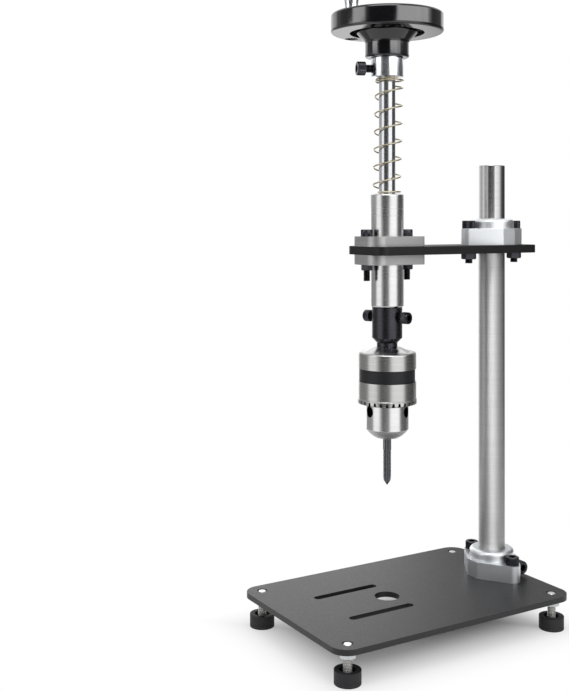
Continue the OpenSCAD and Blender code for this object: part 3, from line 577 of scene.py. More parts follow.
@contextmanager
def editing(piece: Piece) -> Iterator[None]:
    """Edit a piece, from the start with all of it selected.

    Args:
        piece: The piece to edit.

    Returns:
        A context that leaves edit mode at its end.
    """
    take(piece)
    bpy.ops.object.mode_set(mode="EDIT")
    bpy.ops.mesh.select_all(action="SELECT")
    yield
    bpy.ops.object.mode_set(mode="OBJECT")


def apply_place(piece: Piece) -> None:
    """Move a piece's place into its mesh."""
    take(piece)
    bpy.ops.object.transform_apply(location=True, rotation=True, scale=True)


def apply_modifier(piece: Piece, name: str, kind: str, **settings: Any) -> None:
    """Add a modifier with its settings and apply it.

    Args:
        piece: The piece to change.
        name: The modifier's name.
        kind: The modifier's type.
        **settings: The modifier's attributes.
    """
    take(piece)
    modifier = piece.modifiers.new(name, kind)
    for key, value in settings.items():
        setattr(modifier, key, value)
    bpy.ops.object.modifier_apply(modifier=name)


def cut_with(piece: Piece, tool: Piece, leaves: Leaves = Leaves.OUTSIDE) -> None:
    """Cut a piece with a tool and throw the tool away.

    Args:
        piece: The piece to cut.
        tool: The cutting shape.
        leaves: The part of the piece that stays.
    """
    apply_modifier(piece, "cut", "BOOLEAN", operation=leaves.value, object=tool, solver="EXACT")
    bpy.data.objects.remove(tool)


def round_edges(piece: Piece, width: float, segments: int = 2) -> None:
    """Round every sharp edge and shade the piece smooth.

    Args:
        piece: The piece to finish.
        width: The rounding's width in metres, or zero for none.
        segments: The faces across each rounding.
    """
    if width > 0:
        apply_modifier(piece, "round", "BEVEL", width=width, segments=segments,
                       limit_method="ANGLE", angle_limit=SMOOTH_ANGLE, use_clamp_overlap=True)
    take(piece)
    bpy.ops.object.shade_smooth_by_angle(angle=SMOOTH_ANGLE)
    if width > 0:
        apply_modifier(piece, "flatten", "WEIGHTED_NORMAL", keep_sharp=True)


def tidy_mesh(piece: Piece) -> None:
    """Merge doubled points and turn all faces outwards.

    Args:
        piece: The piece to tidy.
    """
    with editing(piece):
        bpy.ops.mesh.remove_doubles(threshold=MERGE_M)
        bpy.ops.mesh.normals_make_consistent(inside=False)


def join(name: str, pieces: Sequence[Piece]) -> Piece:
    """Join pieces into one.

    Args:
        name: The joined piece's name.
        pieces: The pieces to join.

    Returns:
        The joined piece.
    """
    take(pieces[0])
    for piece in pieces[1:]:
        piece.select_set(True)
    if len(pieces) > 1:
        bpy.ops.object.join()
    pieces[0].name = name
    return pieces[0]


def placed_copies(name: str, model: Piece, places: Iterable[Matrix]) -> Piece:
    """Copy a model to several places and join the copies.

    Args:
        name: The joined piece's name.
        model: The model, which is used up.
        places: One matrix for each copy.

    Returns:
        The joined piece, with its place in its mesh.
    """
    copies = []
    for place in places:
        copy = model.copy()
        copy.data = model.data.copy()
        bpy.context.scene.collection.objects.link(copy)
        copy.matrix_world = place
        bpy.context.view_layer.update()
        apply_place(copy)
        copies.append(copy)
    bpy.data.objects.remove(model)
    return join(name, copies)


def blank(sides: int, radius: float, low: float, high: float, centre: Point = ORIGIN) -> Piece:
    """Saw a blank off an upright bar.

    Args:
        sides: Sides of the bar.
        radius: Radius over its corners.
        low: Height of its lower end.
        high: Height of its upper end.
        centre: The axis's place on the floor plan.

    Returns:
        The blank, with its place in its mesh.
    """
    deselect_all()
    bpy.ops.mesh.primitive_cylinder_add(vertices=sides, radius=radius, depth=high - low,
                                        location=(*centre, (low + high) / 2))
    piece = bpy.context.active_object
    apply_place(piece)
    return piece


def draw_profile(name: str, points: Sequence[Point], centre: Point) -> Piece:
    """Draw a chain of edges in the plane of X and Z by extruding one point.

    Args:
        name: The piece's name.
        points: Radius and height of each point, in metres.
        centre: The axis's place on the floor plan.

    Returns:
        The drawn piece.
    """
    deselect_all()
    start = (centre[0] + points[0][0], centre[1], points[0][1])
    bpy.ops.mesh.primitive_plane_add(size=MM, location=start)
    piece = bpy.context.active_object
    piece.name = name
    with editing(piece):
        bpy.ops.mesh.merge(type="CENTER")
        for before, after in zip(points, points[1:]):
            step = (after[0] - before[0], 0.0, after[1] - before[1])
            bpy.ops.mesh.extrude_region_move(TRANSFORM_OT_translate={"value": step})
    apply_place(piece)
    return piece


def turn_profile(name: str, points: Sequence[Point], centre: Point, steps: int,
                 edge: float = 0.0, segments: int = 2) -> Piece:
    """Turn a profile round an upright axis, as on a lathe.

    Args:
        name: The piece's name.
        points: Radius and height of each point, from the axis or closed by its first point.
        centre: The axis's place on the floor plan.
        steps: Faces round the piece.
        edge: Width of the rounding on its sharp edges.
        segments: Faces across each rounding.

    Returns:
        The turned piece.
    """
    piece = draw_profile(name, points, centre)
    with editing(piece):
        bpy.ops.mesh.spin(steps=steps, angle=FULL_TURN, center=(*centre, 0.0), axis=UP)
    tidy_mesh(piece)
    round_edges(piece, edge, segments)
    return piece


def arc(centre: Point, radius: float, start: float, end: float) -> list[Point]:
    """Points on an arc of a profile.

    Args:
        centre: The arc's centre as radius and height.
        radius: The arc's radius.
        start: Where it starts, in degrees.
        end: Where it ends, in degrees.

    Returns:
        The points from start to end.
    """
    angles = [math.radians(start + (end - start) * i / ARC_STEPS) for i in range(ARC_STEPS + 1)]
    return [(centre[0] + radius * math.cos(a), centre[1] + radius * math.sin(a)) for a in angles]


def trim(piece: Piece, height: float, keep: End) -> None:
    """Saw a piece across at a height and close the cut.

    Args:
        piece: The piece to saw.
        height: The cut's height.
        keep: The end that stays.
    """
    with editing(piece):
        bpy.ops.mesh.bisect(plane_co=(0.0, 0.0, height), plane_no=UP, use_fill=True,
                            clear_inner=keep is End.UPPER, clear_outer=keep is End.LOWER)


def thread(name: str, diameter: float, pitch: float, length: float) -> Piece:
    """Cut a right-hand thread that stands on z = 0 about the upright axis.

    Args:
        name: The piece's name.
        diameter: The thread's outer diameter.
        pitch: The distance between its turns.
        length: The thread's length.

    Returns:
        The threaded rod, closed at both ends.
    """
    crest = diameter / 2
    root = crest - THREAD_DEPTH * pitch
    flat = THREAD_FLAT * pitch
    turns = math.ceil(length / pitch) + 2
    piece = draw_profile(name, [
        (root, -pitch), (root, -pitch + flat), (crest, -pitch / 2), (crest, -pitch / 2 + flat),
        (root, 0.0),
    ], ORIGIN)
    apply_modifier(piece, "wind", "SCREW", axis="Z", angle=FULL_TURN, screw_offset=pitch,
                   iterations=turns, steps=THREAD_STEPS, render_steps=THREAD_STEPS,
                   use_merge_vertices=True, merge_threshold=MERGE_M)
    tidy_mesh(piece)
    trim(piece, 0.0, End.UPPER)
    trim(piece, length, End.LOWER)
    tidy_mesh(piece)
    round_edges(piece, 0.0)
    mark_grooves(piece, ORIGIN, crest, root)
    return piece


def mark_grooves(piece: Piece, centre: Point, crest: float, root: float) -> None:
    """Note on each point how deep it lies in an upright thread.

    Args:
        piece: The threaded piece.
        centre: The thread's axis on the floor plan.
        crest: The radius with a depth of none.
        root: The radius with a full depth.
    """
    depths = piece.data.attributes.new(GROOVE, "FLOAT", "POINT")
    for point, depth in zip(piece.data.vertices, depths.data):
        reach = math.hypot(point.co.x - centre[0], point.co.y - centre[1])
        depth.value = min(max((crest - reach) / (crest - root), 0.0), 1.0)


def soften(node: str, name: str, width: float, finish: Finish, body: str) -> Piece:
    """Put a copy of a CAD node, with rounded edges, in the node's place.

    Args:
        node: The CAD node, whose loose triangles are merged in the copy.
        name: The piece's name.
        width: The rounding's width.
        finish: The piece's finish.
        body: The body that carries it.

    Returns:
        The new piece.
    """
    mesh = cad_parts[node].data.copy()
    piece = bpy.data.objects.new(name, mesh)
    bpy.context.scene.collection.objects.link(piece)
    take(piece)
    if mesh.has_custom_normals:
        bpy.ops.mesh.customdata_custom_splitnormals_clear()
    with editing(piece):
        bpy.ops.mesh.remove_doubles(threshold=MERGE_M)
        bpy.ops.mesh.dissolve_limited(angle_limit=FLAT_ANGLE)
    round_edges(piece, width)
    return fit(piece, finish, body, node)


def at(x: float, y: float, z: float, turn: float = 0.0, tilt: float = 0.0) -> Matrix:
    """A place in the frame.

    Args:
        x: Place along X in metres.
        y: Place along Y in metres.
        z: Place along Z in metres.
        turn: Turn about the upright axis, in degrees.
        tilt: Tilt of the piece's own axis from upright, in degrees, before the turn.

    Returns:
        The matrix that puts a piece there.
    """
    return (Matrix.Translation((x, y, z)) @ Matrix.Rotation(math.radians(turn), 4, "Z")
            @ Matrix.Rotation(math.radians(tilt), 4, "Y"))


# Standard fasteners


@dataclass(frozen=True)
class Fastener:
    """A metric socket cap screw and its hexagon nut, in metres.

    The shares are of the head's height and diameter and of the nut's width across its flats.
    """

    thread_d: float
    pitch: float
    head_d: float
    head_h: float
    socket_af: float
    nut_af: float
    nut_h: float
    knurls: int = 36
    socket_share: float = 0.55
    side_share: float = 0.48
    rim_shrink: float = 0.92
    rim_drop: float = 0.45 * MM
    knurl_shrink: float = 0.955
    chamfer_share: float = 0.475
    chamfer: float = 30.0
    flange_share: float = 0.46
    flange_drop: float = 0.6 * MM
    flange_lift: float = 0.4 * MM
    flange_edge: float = 0.15 * MM
    steps: int = 48
    bore_steps: int = 32

    def cap_screw(self, name: str, shank_l: float) -> Piece:
        """Model a cap screw whose head stands on z = 0.

        Args:
            name: The piece's name.
            shank_l: Length of its threaded shank.

        Returns:
            The screw.
        """
        head = blank(2 * self.knurls, self.head_d / 2, 0.0, self.head_h)
        self.knurl(head)
        depth = self.socket_share * self.head_h
        cut_with(head, blank(6, self.socket_af / math.sqrt(3), self.head_h - depth,
                             self.head_h + depth))
        round_edges(head, 0.0)
        shank = thread("shank", self.thread_d, self.pitch, shank_l)
        shank.location = (0.0, 0.0, -shank_l)
        apply_place(shank)
        return join(name, [head, shank])

    def knurl(self, head: Piece) -> None:
        """Chamfer a head's upper edge and press grooves into its side.

        Args:
            head: The head's blank.
        """
        lip = self.head_h - self.rim_drop
        step = math.pi / self.knurls
        with editing(head):
            bpy.ops.mesh.select_mode(type="FACE")
            bpy.ops.mesh.select_all(action="DESELECT")
            mesh = bmesh.from_edit_mesh(head.data)
            for face in mesh.faces:
                face.select_set(face.normal.z > LOOKS_UP)
            bmesh.update_edit_mesh(head.data)
            bpy.ops.mesh.extrude_region_move(TRANSFORM_OT_translate={"value": (0.0, 0.0, 0.0)})
            bpy.ops.transform.resize(value=(self.rim_shrink, self.rim_shrink, 1.0),
                                     center_override=(0.0, 0.0, self.head_h))
            bpy.ops.mesh.select_mode(type="VERT")
            bpy.ops.mesh.select_all(action="DESELECT")
            mesh = bmesh.from_edit_mesh(head.data)
            for point in mesh.verts:
                on_side = math.hypot(point.co.x, point.co.y) > self.side_share * self.head_d
                tooth = round(math.atan2(point.co.y, point.co.x) / step)
                if on_side:
                    point.co.z = min(point.co.z, lip)
                point.select_set(on_side and tooth % 2 == 0)
            mesh.select_flush(True)
            bmesh.update_edit_mesh(head.data)
            bpy.ops.transform.resize(value=(self.knurl_shrink, self.knurl_shrink, 1.0),
                                     center_override=(0.0, 0.0, 0.0))

    def hex_nut(self, name: str) -> Piece:
        """Model a hexagon nut that stands on z = 0.

        Args:
            name: The piece's name.

        Returns:
            The nut, with chamfered corners and an open bore.
        """
        corner = self.nut_af / math.sqrt(3)
        face = self.chamfer_share * self.nut_af
        rise = (corner - face) * math.tan(math.radians(self.chamfer))
        nut = blank(6, corner, 0.0, self.nut_h)
        nut.name = name
        drum = turn_profile("drum", [
            (0.0, 0.0), (face, 0.0), (corner, rise), (corner, self.nut_h - rise),
            (face, self.nut_h), (0.0, self.nut_h),
        ], ORIGIN, self.steps)
        cut_with(nut, drum, Leaves.INSIDE)
        through = 1.5 * self.nut_h
        cut_with(nut, blank(self.bore_steps, self.thread_d / 2, -through, through))
        round_edges(nut, 0.0)
        return nut

    def flange_nut(self, name: str, flange_d: float, flange_t: float) -> Piece:
        """Model a hexagon nut with a flange at its upper end.

        Args:
            name: The piece's name.
            flange_d: The flange's diameter.
            flange_t: The flange's thickness at its rim.

        Returns:
            The nut.
        """
        nut = self.hex_nut(name)
        bore = self.thread_d / 2
        rim = flange_d / 2
        low = self.nut_h - flange_t
        flange = turn_profile("flange", [
            (bore, low), (self.flange_share * self.nut_af, low - self.flange_drop),
            (rim, low + self.flange_lift), (rim, self.nut_h), (bore, self.nut_h), (bore, low),
        ], ORIGIN, self.steps, self.flange_edge)
        return join(name, [nut, flange])


M5 = Fastener(5 * MM, 0.8 * MM, 8.5 * MM, 5 * MM, 4 * MM, 8 * MM, 4 * MM)
M6 = Fastener(6 * MM, 1.0 * MM, 10 * MM, 6 * MM, 5 * MM, 10 * MM, 5 * MM)


def drive_screws(name: str, node: str, size: Fastener, barrel: str, height: float, gap: float,
                 turns: Sequence[float]) -> None:
    """Drive cap screws square to the spindle through a barrel on it, down to its shaft.

    Args:
        name: The piece's name.
        node: The CAD node that it stands for.
        size: The screws' size.
        barrel: The CAD node of the barrel.
        height: Height of the screws' axes.
        gap: How far the undersides of the heads stand off the barrel.
        turns: The screws' directions about the spindle, in degrees.
    """
    head_r = radius_of(barrel) + gap
    screw = size.cap_screw("screw", head_r - SHAFT_D / 2 - TIP_GAP)
    places = [at(*SPINDLE, height, turn) @ at(head_r, 0.0, 0.0, tilt=90.0) for turn in turns]
    fit(placed_copies(name, screw, places), BLACK_OXIDE, "spindle", node)


# Sub-assemblies


@dataclass
class Base:
    """The plate on its four rubber feet."""

    body: str = "base"
    edge: float = 0.5 * MM
    pad_edge: float = 1 * MM
    pad_steps: int = 72
    groove_low: float = 2.2 * MM
    groove_depth: float = 0.3 * MM
    recess_d: float = 11 * MM
    recess_h: float = 3.5 * MM
    recess_taper: float = 0.4 * MM
    nut_flange_d: float = 13 * MM
    nut_flange_t: float = 1.3 * MM
    stud_tip_h: float = 0.5 * MM
    stud_tip_inset: float = 0.05 * MM
    stud_steps: int = 32
    pads: tuple[str, ...] = ("front_left", "front_right", "rear_left", "rear_right")

    def build(self) -> None:
        """Model the plate's edges, the feet, their studs and their nuts."""
        soften("base_plate", "plate", self.edge, POWDER_COAT, self.body)
        for corner in self.pads:
            self.build_foot(f"pad_{corner}", f"foot_pad_{corner}")
        self.build_studs([axis_of(f"foot_pad_{corner}") for corner in self.pads])

    def build_foot(self, name: str, node: str) -> None:
        """Model one rubber foot with its rounded rims, its groove and its recess.

        Args:
            name: The piece's name.
            node: The CAD node that it stands for.
        """
        low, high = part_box(node)
        radius = radius_of(node)
        stud_r = M6.thread_d / 2 + PRESS_FIT
        seat = end_z("foot_studs", End.LOWER)
        recess_r = self.recess_d / 2
        recess_z = high.z - self.recess_h
        groove_z = low.z + self.groove_low
        pad = turn_profile(name, [
            (0.0, low.z), (radius, low.z), (radius, groove_z),
            (radius - self.groove_depth, groove_z + self.groove_depth),
            (radius, groove_z + 2 * self.groove_depth), (radius, high.z), (recess_r, high.z),
            (recess_r - self.recess_taper, recess_z), (stud_r, recess_z), (stud_r, seat),
            (0.0, seat),
        ], axis_of(node), self.pad_steps, self.pad_edge, segments=3)
        fit(pad, FOOT_RUBBER, self.body, node)

    def build_studs(self, places: Sequence[Point]) -> None:
        """Model the threaded studs and the nuts that lock them.

        Args:
            places: The feet's places on the floor plan.
        """
        low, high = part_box("foot_studs")
        length = high.z - low.z
        shoulder = length - self.stud_tip_h
        root = length - 2 * M6.pitch
        crest = M6.thread_d / 2
        tip = crest - self.stud_tip_h
        rod = thread("rod", M6.thread_d, M6.pitch, shoulder)
        end = turn_profile("end", [
            (0.0, root), (tip, root), (tip, shoulder), (crest - self.stud_tip_inset, shoulder),
            (tip, length), (0.0, length),
        ], ORIGIN, self.stud_steps)
        studs = placed_copies("studs", join("stud", [rod, end]), [at(*p, low.z) for p in places])
        fit(studs, STUD_ZINC, self.body, "foot_studs")
        nut_z = end_z("foot_lock_nuts", End.LOWER)
        nut = M6.flange_nut("lock_nut", self.nut_flange_d, self.nut_flange_t)
        nuts = placed_copies("lock_nuts", nut, [at(*p, nut_z) for p in places])
        fit(nuts, ZINC_PLATE, self.body, "foot_lock_nuts")


@dataclass
class SplitClamp:
    """A two-eared clamp with its bolts, nuts and clamping screw."""

    name: str
    body: str
    turn: float
    flange_t: float = 12.5 * MM
    plate_t: float = 4 * MM
    bolt_spacing: float = 46 * MM
    bolt_tail: float = 3 * MM
    screw_offset: float = 14.7 * MM
    screw_grip: float = 13 * MM
    edge: float = 0.6 * MM
    nut_finish: Finish = ZINC_PLATE

    def local(self, x: float, y: float, z: float, tilt: float = 0.0) -> Matrix:
        """A place in the clamp's own frame, which stands on the plate below it."""
        foot = end_z(self.name, End.LOWER)
        return at(*COLUMN, foot, self.turn) @ at(x, y, z, 0.0, tilt)

    def build(self) -> None:
        """Model the clamp's rounded edges and its fasteners."""
        soften(self.name, f"{self.name}_casting", self.edge, CLAMP_ALUMINIUM, self.body)
        ears = (-self.bolt_spacing / 2, self.bolt_spacing / 2)
        shank = self.flange_t + self.plate_t + M6.nut_h + self.bolt_tail
        nut_z = -self.plate_t - M6.nut_h
        for name, node, model, finish, places in (
            ("cap_screws", "bolts", M6.cap_screw("bolt", shank), BLACK_OXIDE,
             [self.local(x, 0.0, self.flange_t) for x in ears]),
            ("hex_nuts", "nuts", M6.hex_nut("nut"), self.nut_finish,
             [self.local(x, 0.0, nut_z) for x in ears]),
            ("lock_screw", "screw", M6.cap_screw("screw", 2 * self.screw_grip), BLACK_OXIDE,
             [self.local(self.screw_grip, self.screw_offset, self.flange_t / 2, 90.0)]),
        ):
            piece = placed_copies(f"{self.name}_{name}", model, places)
            fit(piece, finish, self.body, f"{self.name}_{node}")


@dataclass
class Column:
    """The round bar that carries the arm."""

    body: str = "column"
    edge: float = 0.4 * MM

    def build(self) -> Piece:
        """Model the bar with its chamfered ends and return it."""
        return soften("column", "column_bar", self.edge, COLUMN_STEEL, self.body)


@dataclass
class Arm:
    """The flat arm with the two spindle guides."""

    body: str = "arm"
    edge: float = 0.4 * MM
    guide_edge: float = 0.8 * MM
    arm_t: float = 6 * MM
    bolt_spacing: float = 36 * MM
    bolt_tail: float = 7.5 * MM

    def build(self) -> None:
        """Model the arm's plate, the guides and the bolts through them."""
        soften("arm_plate", "arm_blade", self.edge, ARM_LACQUER, self.body)
        for side, steel in (("upper", UPPER_GUIDE_STEEL), ("lower", LOWER_GUIDE_STEEL)):
            soften(f"{side}_guide", f"{side}_guide_sleeve", self.guide_edge, steel, self.body)
            dress_node(f"{side}_bush", BUSH_BRONZE)
        self.build_bolts()

    def build_bolts(self) -> None:
        """Model the bolts that run through both guides, and their nuts."""
        shank = 2 * GUIDE_FLANGE_T + self.arm_t + M5.nut_h + self.bolt_tail
        head_z = end_z("guide_bolts", End.UPPER) - M5.head_h
        nut_z = end_z("guide_nuts", End.LOWER)
        for name, node, model, height in (
            ("guide_cap_screws", "guide_bolts", M5.cap_screw("bolt", shank), head_z),
            ("guide_hex_nuts", "guide_nuts", M5.hex_nut("nut"), nut_z),
        ):
            places = [at(SPINDLE[0], SPINDLE[1] + side * self.bolt_spacing / 2, height)
                      for side in (-1, 1)]
            fit(placed_copies(name, model, places), BLACK_OXIDE, self.body, node)


@dataclass
class ReturnSpring:
    """The wound wire between the upper guide and the collar."""

    body: str = "spring_carrier"
    wire_d: float = 1.2 * MM
    outer_d: float = 21 * MM
    open_turns: float = 6.2
    top_turns: float = 1.5
    foot_turns: float = 0.5
    start: float = 286.0
    closed_gap: float = 0.25 * MM
    lean_turn: float = 60.0
    foot_lean: float = -0.5 * MM
    top_lean: float = 2 * MM
    rings: int = 32
    wire_rounding: int = 3
    travel: float = 60 * MM

    def height_at(self, turn: float, low: float, rise: float) -> float:
        """Height of the wire's middle after a number of turns.

        Args:
            turn: Turns from the lower end.
            low: Height of the lower end.
            rise: Height from the lower to the upper end.

        Returns:
            The height in metres.
        """
        closed = self.wire_d + self.closed_gap
        pitch = (rise - closed * (self.foot_turns + self.top_turns)) / self.open_turns
        opened = min(max(turn - self.foot_turns, 0.0), self.open_turns)
        return low + closed * turn + (pitch - closed) * opened

    def build(self) -> None:
        """Wind the wire, which leans in its clearance."""
        low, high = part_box("return_spring")
        length = high.z - low.z
        radius = (self.outer_d - self.wire_d) / 2
        turns = self.foot_turns + self.open_turns + self.top_turns
        steps = round(turns * self.rings)
        deselect_all()
        bpy.ops.curve.primitive_nurbs_path_add(location=(0.0, 0.0, 0.0))
        wire = bpy.context.active_object
        wire.name = "spring_coil"
        curve = wire.data
        curve.splines.clear()
        line = curve.splines.new("POLY")
        line.points.add(steps)
        towards = math.radians(self.lean_turn)
        for i, point in enumerate(line.points):
            turn = turns * i / steps
            angle = math.radians(self.start) + FULL_TURN * turn
            lean = self.foot_lean + (self.top_lean - self.foot_lean) * i / steps
            height = self.height_at(turn, low.z + self.wire_d / 2, length - self.wire_d)
            point.co = (SPINDLE[0] + radius * math.cos(angle) + lean * math.cos(towards),
                        SPINDLE[1] + radius * math.sin(angle) + lean * math.sin(towards),
                        height, 1.0)
        curve.bevel_depth = self.wire_d / 2
        curve.bevel_resolution = self.wire_rounding
        curve.use_fill_caps = True
        take(wire)
        bpy.ops.object.convert(target="MESH")
        wire = bpy.context.active_object
        tidy_mesh(wire)
        bpy.ops.object.shade_smooth_by_angle(angle=WIRE_SMOOTH_ANGLE)
        fit(wire, SPRING_WIRE, self.body, "return_spring")
        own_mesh(wire)


@dataclass
class Handwheel:
    """The moulded wheel on its collar."""

    body: str = "spindle"
    hub_r: float = 16 * MM
    hub_h: float = 11.5 * MM
    hub_edge: float = 1.5 * MM
    cone_h: float = 6.5 * MM
    cone_r: float = 22 * MM
    cone_fillet: float = 3 * MM
    groove_h: float = 4 * MM
    rim_inner_r: float = 27 * MM
    rim_r: float = 41 * MM
    rim_h: float = 14 * MM
    rim_edge: float = 2 * MM
    dish_r: float = 29.5 * MM
    dish_slope: float = 5 * MM
    dish_h: float = 6 * MM
    boss_r: float = 14 * MM
    boss_drop: float = 2 * MM
    edge: float = 0.35 * MM
    steps: int = 160
    grip_depth: float = 22 * MM
    recess_d: float = 10 * MM
    recess_h: float = 5 * MM
    hole_steps: int = 48
    collar_edge: float = 0.5 * MM
    screw_z: float = 6 * MM
    screw_gap: float = 5 * MM
    screw_turn: float = 250.0

    def build(self) -> None:
        """Model the wheel, the collar and its screw."""
        self.build_wheel()
        soften("hub_collar", "collar_ring", self.collar_edge, BRIGHT_PLATE, self.body)
        height = end_z("hub_collar", End.LOWER) + self.screw_z
        drive_screws("collar_cap_screw", "collar_screw", M6, "hub_collar", height,
                     self.screw_gap, [self.screw_turn])

    def build_wheel(self) -> None:
        """Turn the wheel's profile and sink the handle's nut into its rim."""
        foot = end_z("handwheel", End.LOWER)
        under = self.hub_h + self.cone_h
        groove = under + self.groove_h
        top = under + self.rim_h
        dish = top - self.dish_h
        boss = top - self.boss_drop
        shaft_r = SHAFT_D / 2 + PRESS_FIT
        slope = math.atan2(self.cone_h, self.cone_r - self.hub_r)
        rise = math.tan(slope) * (1 - math.sin(slope)) - math.cos(slope)
        fillet = (self.hub_r + self.cone_fillet, self.hub_h + self.cone_fillet * rise)
        round_r = self.rim_r - self.rim_edge
        outline = [
            (0.0, self.grip_depth), (shaft_r, self.grip_depth), (shaft_r, 0.0),
            *arc((self.hub_r - self.hub_edge, self.hub_edge), self.hub_edge, -90, 0),
            *arc(fillet, self.cone_fillet, 180, 90 + math.degrees(slope)),
            (self.cone_r, under), (self.cone_r, groove),
            (self.rim_inner_r, groove), (self.rim_inner_r, under),
            *arc((round_r, under + self.rim_edge), self.rim_edge, -90, 0),
            *arc((round_r, top - self.rim_edge), self.rim_edge, 0, 90),
            (self.dish_r, top), (self.dish_r - self.dish_slope, dish),
            (self.boss_r, dish), (self.boss_r, boss), (0.0, boss),
        ]
        wheel = turn_profile("wheel", [(r, foot + z) for r, z in outline], SPINDLE, self.steps,
                             self.edge)
        stud = axis_of("handle_stud")
        stud_r = M5.thread_d / 2 + HOLE_FIT
        for radius, depth in ((self.recess_d / 2, self.recess_h), (stud_r, 2 * self.rim_h)):
            cut_with(wheel, blank(self.hole_steps, radius, foot + under - depth,
                                  foot + under + depth, stud))
        round_edges(wheel, 0.0)
        fit(wheel, WHEEL_RESIN, self.body, "handwheel")


@dataclass
class CrankHandle:
    """The revolving grip on the wheel's rim, with its stud and nut."""

    body: str = "handle"
    wheel_body: str = "spindle"
    foot_r: float = 5.2 * MM
    neck_h: float = 8 * MM
    end_round: float = 1.6 * MM
    swell_span: float = 130.0
    swell_power: float = 1.5
    swell_steps: int = 28
    bore_r: float = 3.55 * MM
    head_room: float = 0.3 * MM
    head_depth: float = 2.8 * MM
    edge: float = 0.2 * MM
    steps: int = 72

    def build(self) -> None:
        """Turn the grip, dress its stud and model the nut under the rim."""
        low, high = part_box("handle_grip")
        centre = axis_of("handle_grip")
        swell = radius_of("handle_grip") - self.foot_r
        length = high.z - low.z - self.end_round - self.neck_h
        side = [(self.foot_r, low.z)]
        for i in range(self.swell_steps + 1):
            share = i / self.swell_steps
            bulge = math.sin(math.radians(self.swell_span) * share) ** self.swell_power
            side.append((self.foot_r + swell * bulge, low.z + self.neck_h + length * share))
        round_at = (side[-1][0] - self.end_round, high.z - self.end_round)
        head_r = radius_of("handle_stud") + self.head_room
        head_z = end_z("handle_stud", End.UPPER) - self.head_depth
        grip = turn_profile("crank_grip", [
            (self.bore_r, low.z), *side, *arc(round_at, self.end_round, 0, 90)[1:],
            (head_r, high.z), (head_r, head_z), (self.bore_r, head_z), (self.bore_r, low.z),
        ], centre, self.steps, self.edge)
        fit(grip, BRIGHT_PLATE, self.body, "handle_grip")
        dress_node("handle_stud", ZINC_PLATE)
        nut = placed_copies("crank_nut", M5.hex_nut("nut"),
                            [at(*centre, end_z("handle_nut", End.LOWER))])
        fit(nut, ZINC_PLATE, self.wheel_body, "handle_nut")


@dataclass
class Spindle:
    """The shaft with the adapter that carries the chuck."""

    body: str = "spindle"
    adapter_edge: float = 0.4 * MM
    screw_drop: float = 7 * MM
    screw_gap: float = 3 * MM
    screw_turns: tuple[float, float] = (20.0, 200.0)

    def build(self) -> None:
        """Dress the shaft and model the adapter and its screws."""
        dress_node("spindle_shaft", SHAFT_STEEL)
        soften("chuck_adapter", "adapter_socket", self.adapter_edge, BLACK_OXIDE, self.body)
        height = end_z("chuck_adapter", End.UPPER) - self.screw_drop
        drive_screws("adapter_cap_screws", "adapter_screws", M5, "chuck_adapter", height,
                     self.screw_gap, self.screw_turns)


